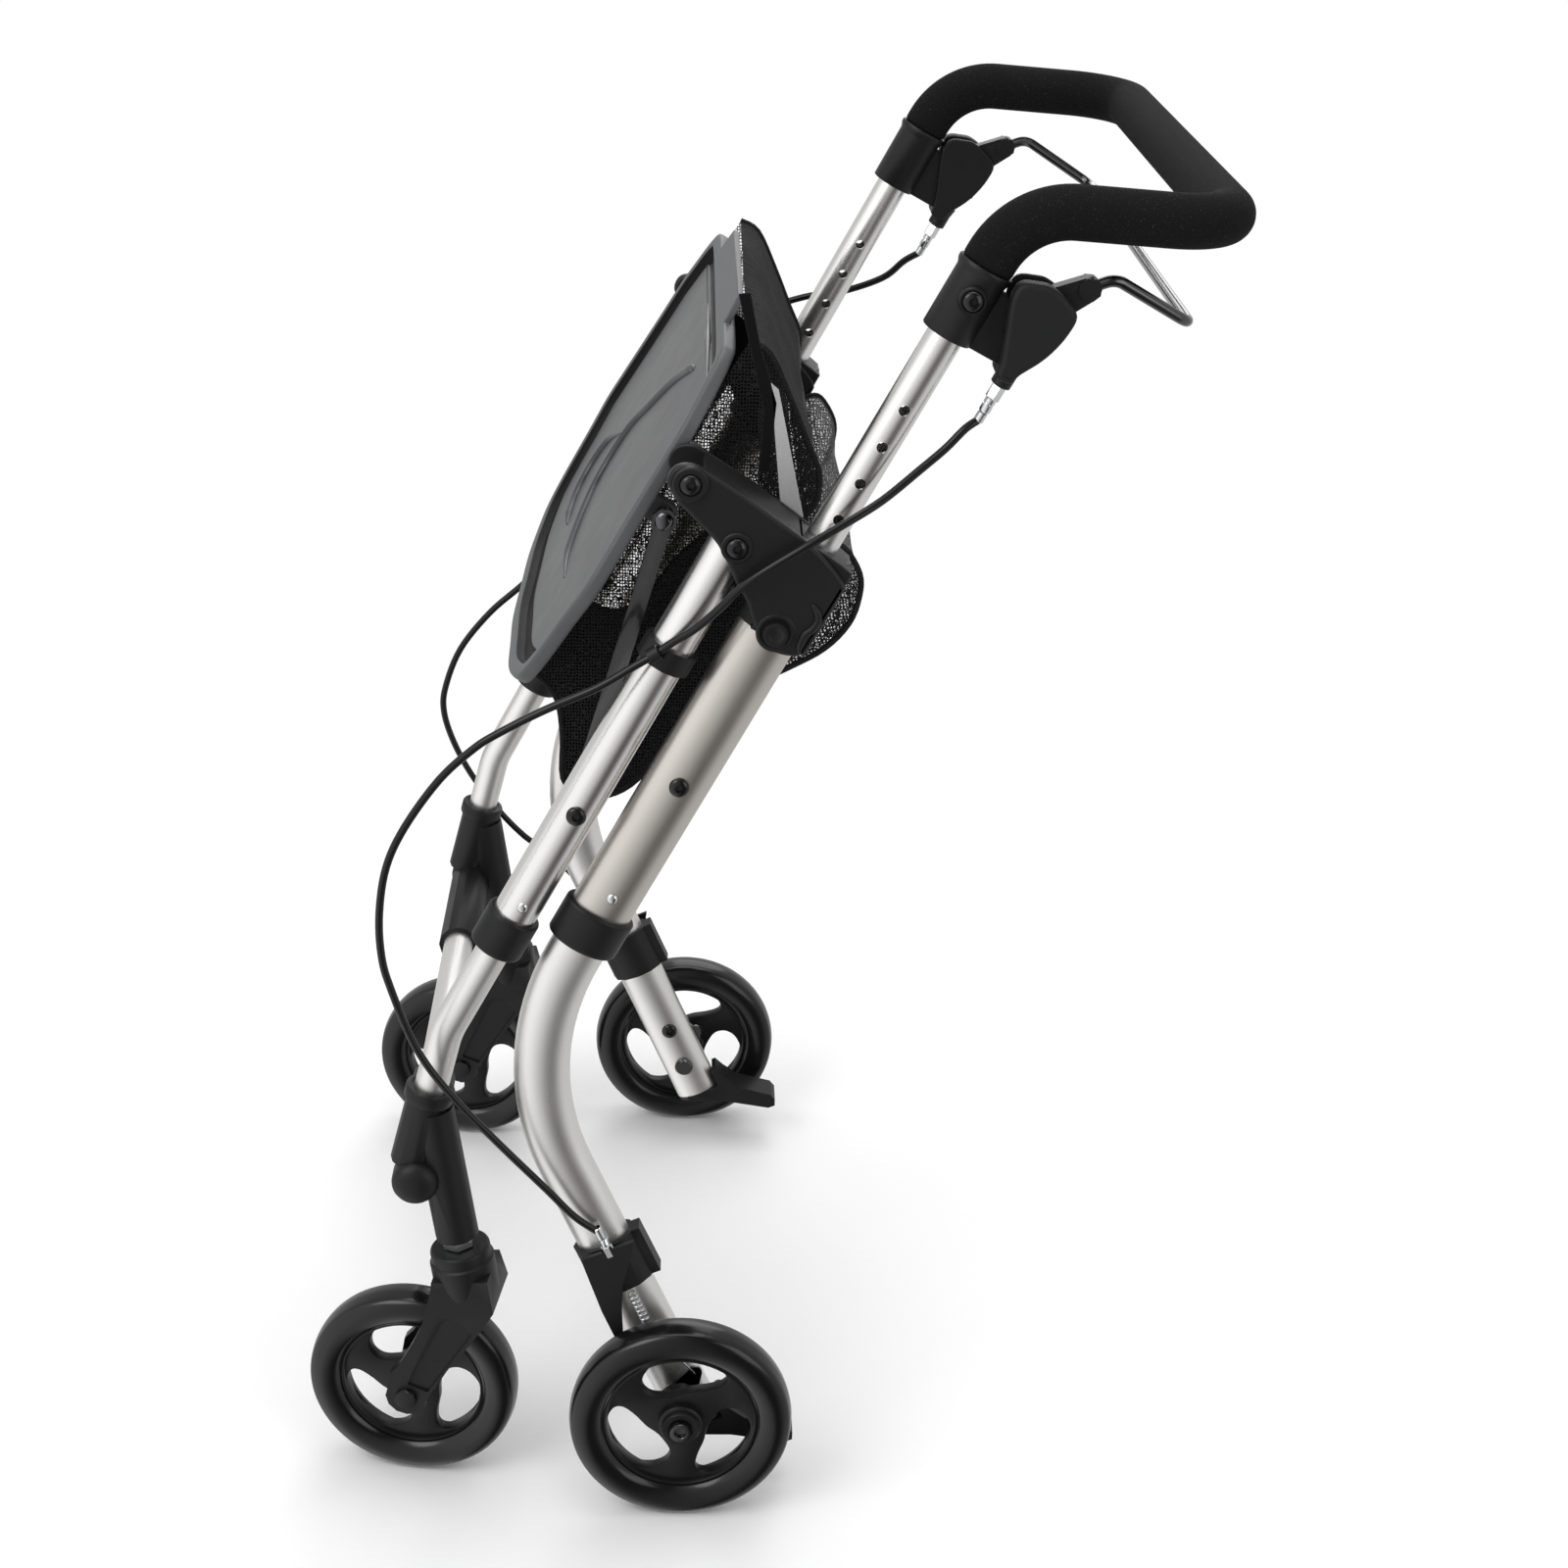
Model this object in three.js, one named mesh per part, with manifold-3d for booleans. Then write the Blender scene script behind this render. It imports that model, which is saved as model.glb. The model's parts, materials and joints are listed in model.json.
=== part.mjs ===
// Indoor rollator, folded for parking: a rear frame that carries the telescoping handle, a front frame
// that hinges on the two shoulder brackets, a serving tray that hinges on the tips of those brackets,
// and a link on each side that swings the tray level as the front frame goes forward.
// Millimetres. Z is up, the front wheels point to -Y, the user walks at +Y, the left side is +X.
// Each side is modelled once, on +X, and mirrored for the right side.
import * as THREE from "three";
import { mergeVertices } from "three/addons/utils/BufferGeometryUtils.js";
import Module from "manifold-3d";

const wasm = await Module();
wasm.setup();

// Running clearance between neighbours, overrun of every cut, and the distance at which points weld.
const gap = 0.3;
const overrun = 6;
const weld = 0.0001;
const degree = Math.PI / 180;

// Faces round a section.
const tubeSides = 12;
const gripSides = 12;
const boltSides = 8;
const smallSides = 6;
const wheelSides = 24;
const hubSides = 10;
const cableSides = 8;
const hexSides = 6;
const strapSteps = 6;

// Wheels.
const wheelRadius = 75;
const casterWheelRadius = 72;
const wheelWidth = 28;
const rimShare = 0.693;
const webThickness = 9;
const hubRadius = 15;
const windowCount = 3;
const windowStart = 46 * degree;
const hubStepShare = 0.7;
const hubTopShare = 0.86;
const rearWheelX = 256.3;

// The frame tubes stand in one plane on each side.
const sideX = 220.6;
const frameLean = 27.28 * degree;
const lineY = 68.9;
const lineZ = 688.6;

// Rear upper tube, an oval that the handle tube slides in.
const rearTubeDepth = 40;
const rearTubeWidth = 28;
const rearTubeWall = 1.5;
const rearTubeTop = -14;
const rearScrewAt = -176.7;
const rearRivetAt = -263.8;

// Rear lower leg, an oval that telescopes into the upper tube, bends back and carries the rear wheel.
const legWall = 1.8;
const legTop = -250;
const legLean = 24.5 * degree;
const legBendRadius = 180;
const legBendSteps = 4;
const legFoot = 29.7;
const brakeScrewUp = 35.9;
const brakeScrewBack = 2.1;

// Collar between the rear tubes.
const rearCollarTop = -279;
const rearCollarBottom = -306;
const collarWall = 3.2;
const collarLip = 3;
const collarChamfer = 1.4;
const rearTubeBottom = rearCollarBottom + collarLip + gap;

// Handle: one bent tube with both uprights, and the foam on its upper part.
const handleRadius = 11;
const handleWall = 1.5;
const gripRise = 199.9;
const gripHeight = lineZ + gripRise;
const gripRearDrop = 6;
const gripBendRadius = 50;
const gripRearY = 297;
const gripCornerRadius = 40;
const gripBendSteps = 4;
const foamRadius = 15.8;
const holePitch = 25.18;
const holeCount = 9;
const holesAboveLockCount = 6;
const holeRadius = 3.3;
const lockAt = -57.4;
const holeFirst = lockAt + holesAboveLockCount * holePitch;
const handleTail = 10.3;
const handleBottom = holeFirst - (holeCount - 1) * holePitch - handleTail;

// Shoulder bracket.
const trayPivotAlong = -1.1;
const trayPivotAcross = -88.5;
const frontPivotAlong = -22.2;
const frontPivotAcross = -46.1;
const cheekOuterX = 244;
const cheekThickness = 8.6;
const innerCheekX = 199;
const innerCheekThickness = 4.4;
const sleeveWall = 2.4;
const sleeveTop = -4;
const sleeveBottom = -64;
const bossHeight = 3;
const trayBossRadius = 10.6;
const frontBossRadius = 9.5;
const lockBossRadius = 12;
const pivotRadius = 4;
const screwHeadRadius = 6;
const screwHeadHeight = 2.6;
const rivetRadius = 3.2;
const rivetHeight = 1.4;
const blockFrontShare = 0.6;

// Bar between the two brackets.
const crossBarAlong = -26.9;
const crossBarAcross = -0.7;
const crossBarDepth = 8.4;
const crossBarHeight = 19.6;

// Height lock button.
const buttonRadius = 7.6;
const buttonHeight = 3.6;
const buttonPinRadius = 3;
const ridgeLength = 22;
const ridgeWidth = 7;

// Front upper tube and front lower leg.
const frontTubeRadius = 14;
const frontTubeWall = 1.5;
const frontTubeTop = 11;
const linkPinAt = -224.2;
const frontRivetAt = -296.1;
const frontLegRadius = 11;
const frontLegWall = 1.5;
const frontLegTop = -298;
const frontBendAt = -404.8;
const frontLegLean = 13.6 * degree;
const frontBendRadius = 60;
const frontBendSteps = 3;
const frontLegEndZ = 262;
const frontCollarTop = -308;
const frontCollarBottom = -335;
const frontTubeBottom = frontCollarBottom + collarLip + gap;

// Cable clip on the front tube.
const clipAt = -107;
const clipHeight = 14;
const clipWall = 3.4;
const clipEyeX = 239.5;
const clipEyeY = -28.8;
const clipEyeZ = 620.2;
const clipEyeWall = 1.6;
const clipEyeRoom = 1.2;
const clipEyeLength = 7;
const clipEyeLean = 54 * degree;

// Caster bracket, stem, fork and turn.
const stemLean = 9 * degree;
const stemY = -150.7;
const stemZ = 186;
const stemRadius = 6;
const stemInBracket = 52;
const stemInFork = 30;
const nutHeight = 8.4;
const nutRadius = 11;
const bracketRadius = 14.6;
const bracketTubeTop = 108;
const bracketSleeveRadius = 14.2;
const bracketSleeveTopZ = 308;
const bracketSleeveBottomZ = 252;
const socketY = -178;
const socketZ = 243;
const socketRadius = 15;
const socketOuterX = 236;
const socketInnerX = 100;
const crossTubeRadius = 11;
const crossTubeWall = 1.5;
const crossTubeHalf = 208;
const clampBoltZ = 285;
const clampBoltRadius = 5.6;
const clampBoltReach = 20;
const webWidthShare = 0.6;
const forkHeadRadius = 21.4;
const forkHeadHeight = 36;
const forkStep = 9;
const forkStepDrop = 1.4;
const forkCheekInner = 15.6;
const forkCheekThickness = 7.4;
const forkPocketDepth = 2;
const casterTrail = 50.7;
const casterDrop = (stemZ - casterWheelRadius - casterTrail * Math.sin(stemLean)) / Math.cos(stemLean);
const forkEyeRadius = 14.5;
const forkFootStart = -38 * degree;
const forkFootTurn = -180 * degree;
const forkFootSteps = 6;
const forkWheelRoom = 3.4;
const casterTurnLeft = -8.7 * degree;
const casterTurnRight = -7.3 * degree;

// Rear axle and brake.
const axleRadius = 3.7;
const axleShoulderRadius = 6.4;
const axleHeadRadius = 7.6;
const axleHeadHeight = 3.6;
const axleHeadShare = 0.8;
const drumRadius = 16.4;
const drumReach = 15.3;
const hubCapReach = 15;
const brakeClampTop = 132;
const brakeClampBottom = 95;
const brakeClampWall = 3.6;
const shieldX = 238;
const shieldThickness = 3;
const stopTop = 126;
const stopHalf = 9;
const lowerAdjusterX = 237.2;
const lowerAdjusterRadius = 4;
const lowerAdjusterNeckRadius = 3.2;
const lowerAdjusterLength = 14;
const lowerAdjusterHexLength = 8;
const springUp = 66;
const springTop = 92;
const springBack = 3.4;
const springX = 236.3;
const springRadius = 2.5;
const springWire = 0.6;
const springCurls = 7;
const springStepsPerCurl = 8;
const springSides = 5;
const brakeArmThickness = 2.2;
const brakeArmEye = 10.5;
const brakeHookUp = 14.4;
const brakeHookBack = 16.7;
const brakeHookRadius = 5;
const wireBendUp = 40;
const wireBendBack = 8.6;

// Tipping pedal at the foot of the rear leg.
const pedalReach = 58;
const pedalDrop = 66;
const pedalWidth = 24;
const plugLength = 14;
const plugCap = 3.3;

// Handle clamp, brake housing, cover and lever.
const clampDown = 37.9;
const clampTop = gripRise / Math.cos(frameLean) - clampDown;
const clampLength = 45;
const clampBottom = clampTop - clampLength;
const clampRadius = 15.6;
const clampLipRadius = 17.2;
const clampLipHeight = 5;
const clampScrewDown = 18.4;
const clampScrewAt = clampTop - clampScrewDown;
const clampScrewRadius = 8;
const clampScrewX = 3;
const foamStart = clampTop + gap;
const housingHalf = 5.2;
const housingReach = 57.6;
const housingRise = 10.1;
const housingLength = 65.5;
const housingTop = clampTop + housingRise;
const housingFoot = housingTop - housingLength;
const housingWall = 4;
const coverThickness = 14;
const housingLowDown = 21;
const housingLow = clampTop - housingLowDown;
const coverBevel = 2.2;
const leverPivotDown = 3;
const leverPivotAlong = clampTop - leverPivotDown;
const leverPivotAcross = 42;
const leverDiscRadius = 10.5;
const leverHalfWidth = 4.9;
const leverPinRadius = 3;
const leverBlockRadius = 7;
const leverEndUp = 18;
const leverEndAlong = clampTop + leverEndUp;
const leverEndAcross = 57.5;
const leverBlockHalf = 6.5;
const noseRadius = 6.2;
const noseAcross = 42.8;
const noseLength = 16;
const adjusterRadius = 4.6;
const adjusterNeckRadius = 3.4;
const adjusterLength = 18;
const adjusterHexLength = 9;

// Brake bar.
const barRadius = 3.5;
const barRiseAhead = 68;
const barRiseDrop = 38.5;
const barRearAhead = 20;
const barRearDrop = 66.5;
const barRiseY = gripRearY - barRiseAhead;
const barRiseZ = gripHeight - barRiseDrop;
const barRearY = gripRearY - barRearAhead;
const barRearZ = gripHeight - barRearDrop;
const barRearX = 205;
const barBendRadius = 12;
const barBendSteps = 3;

// Brake cables: the way each one lies on its side, x outwards, y and z.
const cableRadius = 2.5;
const cableSteps = 52;
const cableRoutes = {
  left: [
    [223.5, 148.7, 760.1],
    [226.5, 137.8, 748.9],
    [230.5, 123.9, 737.2],
    [238, 101.5, 719.5],
    [246.5, 78.8, 706.7],
    [252.5, 56.3, 694],
    [252.5, 34.1, 679.1],
    [250.5, 20.2, 667.1],
    [247, 7.5, 652],
    [243.5, -5.4, 638.6],
    [240.8, -17.4, 629.4],
    [239.5, -28.8, 620.2],
    [239.5, -40.3, 612.7],
    [240, -62.9, 598],
    [240, -94.5, 582.5],
    [240, -121.5, 567],
    [240, -137, 556],
    [240, -157.8, 535],
    [240, -179.1, 502.9],
    [240, -191, 475.3],
    [240, -195.9, 444],
    [240.3, -195.4, 415.4],
    [241, -190.3, 392.2],
    [243, -174.3, 349.1],
    [244, -152.9, 316.3],
    [243, -123.8, 281],
    [240.5, -92, 244],
    [238.8, -73.5, 222],
  ],
  right: [
    [225, 146, 757.5],
    [230, 131.5, 743.5],
    [238, 103, 730.5],
    [247, 74, 722.8],
    [251.5, 52, 711.1],
    [252, 28, 679],
    [248, 6, 647],
    [241.5, -14, 632.5],
    [239.5, -28.8, 620.2],
    [239.5, -39, 610.5],
    [239.8, -52, 594.5],
    [240, -74, 561],
    [240, -104, 524],
    [240, -135.8, 490.5],
    [240, -162.7, 465.1],
    [240, -186.1, 433.8],
    [240, -198.2, 401.6],
    [240, -200, 380.4],
    [240.5, -193.2, 355],
    [242.5, -179.4, 325.1],
    [244.5, -157.7, 292.4],
    [243.5, -135.8, 269.1],
    [242, -115.8, 255.1],
    [239, -84.3, 226.2],
  ],
};

// Tray: its top face lies in front of the hinge, and it leans back a little more than the tubes.
const trayLean = 30.05 * degree;
const trayFace = 14.6;
const trayThickness = 9.4;
const trayHalfWidth = 212;
const trayRise = 62;
const trayFall = 213;
const trayTab = 17.5;
const trayTabHalf = 95;
const trayTabChamfer = 9;
const rimWidth = 11;
const grooveWidth = 9;
const floorDrop = 4;
const grooveDrop = 6.6;
const floorThickness = 2.4;
const beadWidth = 3.2;
const beadDepth = 1;
const beadHalfWidth = 82;
const beadHalfLength = 84;
const beadCentre = -60;
const earX = 188;
const earThickness = 8;
const earRadius = 9;
const linkLugX = 180;
const linkLugThickness = 9;
const linkPivotDown = 39.9;
const linkPivotBack = 5.9;
const linkEndRadius = 8;

// Link from the tray to the front tube.
const linkX = 197;
const linkThickness = 4.6;
const linkWidth = 11;
const linkKnobLength = 6.4;
const linkKnobRadius = 6.2;
const linkHeadRadius = 7;
const linkHeadHeight = 2.6;

// Shopping bag behind the tray.
const bagHalfWidth = 172;
const bagWall = 4;
const bagDepth = 148;
const bagFall = 232;

// Outlines as shares of the sizes they follow.
const windowShares = [
  [0.533, 0],
  [0.613, 0.025],
  [0.655, 0.13],
  [0.667, 0.32],
  [0.65, 0.53],
  [0.593, 0.65],
  [0.507, 0.733],
  [0.413, 0.762],
  [0.333, 0.725],
  [0.267, 0.55],
  [0.264, 0.4],
  [0.32, 0.225],
  [0.413, 0.067],
];
const tyreShares = [
  [0.693, -0.3],
  [0.747, -0.43],
  [0.86, -0.5],
  [0.97, -0.38],
  [1, -0.12],
  [1, 0.12],
  [0.97, 0.38],
  [0.86, 0.5],
  [0.747, 0.43],
  [0.693, 0.3],
];
const bracketShares = [
  [-0.2, 1.08],
  [-0.13, 1.135],
  [-0.02, 1.15],
  [0.07, 1.13],
  [0.14, 1.07],
  [0.165, 0.98],
  [0.132, 0.7],
  [0.077, 0.42],
  [0.02, 0.165],
  [-0.06, -0.03],
  [-0.16, -0.19],
  [-0.23, -0.245],
  [-0.32, -0.255],
  [-1, -0.255],
  [-1.1, -0.225],
  [-1.17, -0.15],
  [-1.2, -0.045],
  [-1.155, 0.06],
  [-1, 0.19],
  [-0.85, 0.285],
  [-0.71, 0.42],
  [-0.46, 0.64],
  [-0.335, 0.87],
  [-0.27, 1],
];
const shieldShares = [
  [1, -0.117],
  [1, 0.17],
  [0.93, 0.13],
  [0.857, 0.074],
  [0.773, 0.011],
  [0.63, -0.055],
  [0.5, -0.105],
  [0.455, -0.13],
  [0.47, -0.15],
  [0.67, -0.147],
];
const pedalShares = [
  [0.32, -0.69],
  [0.86, -1],
  [0.96, -1],
  [1, -0.92],
  [0.97, -0.83],
  [0.56, -0.545],
  [0.44, -0.36],
];
const housingShares = [
  [0.898, 0.333],
  [0.973, 0.493],
  [1, 0.62],
  [0.967, 0.818],
  [0.889, 0.983],
  [0.711, 1],
  [0.525, 0.962],
  [0.374, 0.898],
  [0.206, 0.796],
  [0.097, 0.755],
  [0.097, 0.605],
  [0.233, 0.56],
  [0.464, 0.45],
  [0.738, 0.322],
];
const trayShares = [
  [0, -1],
  [0.274, -0.981],
  [0.507, -0.962],
  [0.656, -0.925],
  [0.79, -0.873],
  [0.856, -0.808],
  [0.9, -0.723],
  [0.945, -0.592],
  [1, -0.46],
  [0.985, -0.338],
  [0.965, -0.235],
  [0.945, -0.117],
  [0.93, 0],
];
const trayCornerShares = [
  [0.918, 0.24],
  [0.875, 0.5],
  [0.828, 0.76],
  [0.77, 0.94],
  [0.68, 1],
];
const bagShares = [
  [0, 0.319],
  [0.101, 0.319],
  [0.263, 0.25],
  [0.425, 0.172],
  [0.533, 0.121],
  [0.587, 0.06],
  [0.594, 0.009],
  [0.56, -0.03],
  [0.54, -0.086],
  [0.553, -0.142],
  [0.614, -0.172],
  [0.689, -0.168],
  [0.716, -0.138],
  [0.722, -0.078],
  [0.749, -0.039],
  [0.803, -0.022],
  [0.918, -0.06],
  [0.972, -0.116],
  [0.999, -0.194],
  [0.972, -0.289],
  [0.884, -0.392],
  [0.716, -0.569],
  [0.634, -0.724],
  [0.614, -0.879],
  [0.547, -0.966],
  [0.439, -1],
  [0.337, -0.987],
  [0.236, -0.879],
  [0.128, -0.793],
  [0, -0.759],
];
const bagMouthShares = [
  [0.053, 0.284],
  [0.053, 0.509],
  [0.628, 0.405],
  [0.506, 0.147],
  [0.411, 0.112],
];
const forkShares = [
  [0.58, -0.17],
  [0.645, -0.21],
  [0.624, -0.254],
  [0.466, -0.355],
  [0.268, -0.476],
  [-0.077, -0.664],
  [-0.351, -0.8],
  [-0.744, -1.035],
];
const forkFrontShares = [
  [-1.149, -0.81],
  [-0.993, -0.747],
  [-0.737, -0.575],
  [-0.562, -0.44],
  [-0.38, -0.21],
  [-0.36, -0.16],
];
const forkPocketShares = [
  [-0.17, -0.402],
  [-0.03, -0.46],
  [0.08, -0.535],
  [-0.69, -0.966],
  [-0.942, -0.9],
  [-0.811, -0.79],
  [-0.412, -0.504],
  [-0.31, -0.42],
];
const domeShares = [
  [1, 0.35],
  [0.72, 0.85],
  [0, 1],
];

// Colours and finishes.
const finishes = {
  foam: [0x1c1d20, 0.85, 0],
  handleTube: [0xcfd0d1, 0.28, 1],
  rearTube: [0xb8b2ab, 0.36, 1],
  legPaint: [0xd9d9d6, 0.42, 0.6],
  blackPlastic: [0x222427, 0.5, 0],
  blackSteel: [0x2a2b2e, 0.3, 0.8],
  wheel: [0x18191b, 0.32, 0],
  zinc: [0xc4c8cc, 0.3, 1],
  tray: [0x74777b, 0.55, 0],
  cloth: [0x151618, 0.9, 0],
  cable: [0x101113, 0.4, 0],
};

// A geometry as a solid for joining and cutting, and a solid back as a geometry.
function solid(geometry) {
  const bare = geometry.clone();
  bare.deleteAttribute("normal");
  bare.deleteAttribute("uv");
  const merged = mergeVertices(bare, weld);
  const corners = merged.index.array;
  const kept = [];
  for (let i = 0; i < corners.length; i += 3) {
    const [a, b, c] = [corners[i], corners[i + 1], corners[i + 2]];
    if (a !== b && b !== c && c !== a) {
      kept.push(a, b, c);
    }
  }
  const vertProperties = merged.attributes.position.array;
  return new wasm.Manifold(new wasm.Mesh({ numProp: 3, vertProperties, triVerts: new Uint32Array(kept) }));
}

function geometryOf(made) {
  const mesh = made.getMesh();
  const geometry = new THREE.BufferGeometry();
  const points = new Float32Array(mesh.vertProperties);
  geometry.setAttribute("position", new THREE.BufferAttribute(points, 3));
  geometry.setIndex(new THREE.BufferAttribute(new Uint32Array(mesh.triVerts), 1));
  geometry.computeVertexNormals();
  return geometry;
}

function join(...pieces) {
  return geometryOf(pieces.map(solid).reduce((a, b) => a.add(b)));
}

function cut(piece, ...tools) {
  return geometryOf(tools.map(solid).reduce((a, b) => a.subtract(b), solid(piece)));
}

function common(piece, other) {
  return geometryOf(solid(piece).intersect(solid(other)));
}

// Points of an oval, as a closed polygon.
function oval(halfA, halfB, sides) {
  const points = [];
  for (let i = 0; i < sides; i++) {
    const turn = (i / sides) * 2 * Math.PI;
    points.push([halfA * Math.cos(turn), halfB * Math.sin(turn)]);
  }
  return points;
}

// The points of a round tube's section that holds a round of the given radius inside its flats.
function around(radius, sides) {
  return radius / Math.cos(Math.PI / sides);
}

// The radius of a bolt's bore, clear of the bolt at any turn.
function boreFor(radius) {
  return around(radius + gap, boltSides);
}

function shapeOf(points, ...holes) {
  const shape = new THREE.Shape(points.map(([a, b]) => new THREE.Vector2(a, b)));
  for (const hole of holes) {
    shape.holes.push(new THREE.Path(hole.map(([a, b]) => new THREE.Vector2(a, b))));
  }
  return shape;
}

// An outline in Y and Z, as thick as from one X to another.
const sideways = new THREE.Matrix4().makeBasis(
  new THREE.Vector3(0, 1, 0),
  new THREE.Vector3(0, 0, 1),
  new THREE.Vector3(1, 0, 0),
);

function slab(points, fromX, toX, ...holes) {
  const options = { depth: toX - fromX, bevelEnabled: false };
  const geometry = new THREE.ExtrudeGeometry(shapeOf(points, ...holes), options);
  return geometry.applyMatrix4(sideways).translate(fromX, 0, 0);
}

// An outline in X and Y, as high as from one Z to another.
function column(points, fromZ, toZ, ...holes) {
  const options = { depth: toZ - fromZ, bevelEnabled: false };
  const geometry = new THREE.ExtrudeGeometry(shapeOf(points, ...holes), options);
  return geometry.translate(0, 0, fromZ);
}

// The same with both edges chamfered inside the outline.
function chamfered(points, fromZ, toZ, chamfer) {
  const options = {
    depth: toZ - fromZ - 2 * chamfer,
    bevelEnabled: true,
    bevelThickness: chamfer,
    bevelSize: chamfer,
    bevelOffset: -chamfer,
    bevelSegments: 1,
  };
  const geometry = new THREE.ExtrudeGeometry(shapeOf(points), options);
  return geometry.translate(0, 0, fromZ + chamfer);
}

function box(fromX, toX, fromY, toY, fromZ, toZ) {
  const geometry = new THREE.BoxGeometry(toX - fromX, toY - fromY, toZ - fromZ);
  return geometry.translate((fromX + toX) / 2, (fromY + toY) / 2, (fromZ + toZ) / 2);
}

function rodX(radius, fromX, toX, y, z, sides) {
  const rod = new THREE.CylinderGeometry(radius, radius, Math.abs(toX - fromX), sides);
  return rod.rotateZ(-Math.PI / 2).translate((fromX + toX) / 2, y, z);
}

function rodY(radius, fromY, toY, x, z, sides) {
  return new THREE.CylinderGeometry(radius, radius, toY - fromY, sides).translate(x, (fromY + toY) / 2, z);
}

function rodZ(radius, fromZ, toZ, x, y, sides) {
  const rod = new THREE.CylinderGeometry(radius, radius, toZ - fromZ, sides);
  return rod.rotateX(Math.PI / 2).translate(x, y, (fromZ + toZ) / 2);
}

// A turned piece about X: its profile is a list of [radius, x], from one end of the axis to the other.
function turned(profile, sides) {
  const points = profile.map(([radius, x]) => new THREE.Vector2(radius, x));
  return new THREE.LatheGeometry(points, sides).rotateZ(-Math.PI / 2);
}

// A domed screw or rivet head that looks to +X.
function dome(radius, height, x, y, z) {
  const sink = height / 2;
  const crown = domeShares.map(([out, up]) => [radius * out, height * up]);
  return turned([[0, -sink], [radius, -sink], ...crown], boltSides).translate(x, y, z);
}

// A path that keeps the points it is given, for sweeps with no more faces than they need.
class Route extends THREE.Curve {
  constructor(points) {
    super();
    this.points = points;
  }

  getPoint(share) {
    const place = share * (this.points.length - 1);
    const index = Math.min(Math.floor(place), this.points.length - 2);
    return this.points[index].clone().lerp(this.points[index + 1], place - index);
  }

  getPointAt(share) {
    return this.getPoint(share);
  }

  getTangentAt(share) {
    const last = this.points.length - 1;
    const index = Math.round(share * last);
    const before = this.points[Math.max(index - 1, 0)];
    const after = this.points[Math.min(index + 1, last)];
    const here = this.points[index];
    const arriving = index > 0 ? here.clone().sub(before).normalize() : after.clone().sub(here).normalize();
    const leaving = index < last ? after.clone().sub(here).normalize() : arriving;
    return arriving.clone().add(leaving).normalize();
  }

  getSpacedPoints() {
    return this.points.map((point) => point.clone());
  }
}

// The points of a bent tube: straight runs between corners, each corner an arc of its own radius.
function bent(corners, radii, steps) {
  const points = [corners[0].clone()];
  for (let i = 1; i < corners.length - 1; i++) {
    const here = corners[i];
    const back = corners[i - 1].clone().sub(here).normalize();
    const on = corners[i + 1].clone().sub(here).normalize();
    const turn = Math.PI - back.angleTo(on);
    const reach = radii[i - 1] * Math.tan(turn / 2);
    const centre = here
      .clone()
      .add(back.clone().add(on).normalize().multiplyScalar(radii[i - 1] / Math.cos(turn / 2)));
    const start = here.clone().add(back.multiplyScalar(reach)).sub(centre);
    const end = here.clone().add(on.multiplyScalar(reach)).sub(centre);
    for (let k = 0; k <= steps; k++) {
      const share = k / steps;
      const arc = start
        .clone()
        .multiplyScalar(Math.sin((1 - share) * turn) / Math.sin(turn))
        .add(end.clone().multiplyScalar(Math.sin(share * turn) / Math.sin(turn)));
      points.push(arc.add(centre));
    }
  }
  points.push(corners[corners.length - 1].clone());
  return points;
}

function sweep(section, points, ...holes) {
  const route = new Route(points);
  const options = { steps: points.length - 1, extrudePath: route, bevelEnabled: false };
  return new THREE.ExtrudeGeometry(shapeOf(section, ...holes), options);
}

// The frame of the rear tube: along is up the tube, across is square to it and to the rear.
function onLine(along, across, x = sideX) {
  const y = lineY + along * Math.sin(frameLean) + across * Math.cos(frameLean);
  const z = lineZ + along * Math.cos(frameLean) - across * Math.sin(frameLean);
  return new THREE.Vector3(x, y, z);
}

// The frame of the straight foot of the rear leg: up runs up the leg from the axle, back to the rear.
function onLeg(up, back, x = sideX) {
  const y = -up * Math.sin(legLean) + back * Math.cos(legLean);
  const z = wheelRadius + up * Math.cos(legLean) + back * Math.sin(legLean);
  return new THREE.Vector3(x, y, z);
}

function group(parent, x, y, z, lean = 0) {
  const made = new THREE.Group();
  made.position.set(x, y, z);
  made.rotation.x = lean;
  parent.add(made);
  return made;
}

function piece(parent, name, geometry, finish) {
  const [color, roughness, metalness] = finishes[finish];
  const material = new THREE.MeshStandardMaterial({ color, roughness, metalness });
  const mesh = new THREE.Mesh(geometry, material);
  mesh.name = name;
  parent.add(mesh);
  return mesh;
}

// Sections that several pieces share.
const rearTubeOuter = oval(rearTubeWidth / 2, rearTubeDepth / 2, tubeSides);
const rearTubeInner = oval(rearTubeWidth / 2 - rearTubeWall, rearTubeDepth / 2 - rearTubeWall, tubeSides);
const legHalfWidth = rearTubeWidth / 2 - rearTubeWall - gap;
const legHalfDepth = rearTubeDepth / 2 - rearTubeWall - gap;
const legOuter = oval(legHalfWidth, legHalfDepth, tubeSides);
const legInner = oval(legHalfWidth - legWall, legHalfDepth - legWall, tubeSides);
const tubeFace = sideX + rearTubeWidth / 2;
const legFace = sideX + legHalfWidth;
const frontFace = sideX + frontTubeRadius;

// Rear upper tube, with the hole that the lock pin comes through.
function rearTubeShape() {
  const tube = column(rearTubeOuter, rearTubeBottom, rearTubeTop, rearTubeInner);
  const half = rearTubeWidth / 2;
  const lock = rodX(buttonPinRadius + gap, 0, half + overrun, 0, lockAt, smallSides);
  const screw = dome(screwHeadRadius, screwHeadHeight, half, 0, rearScrewAt);
  const rivet = dome(rivetRadius, rivetHeight, half, 0, rearRivetAt);
  return cut(join(tube, screw, rivet), lock);
}

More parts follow.
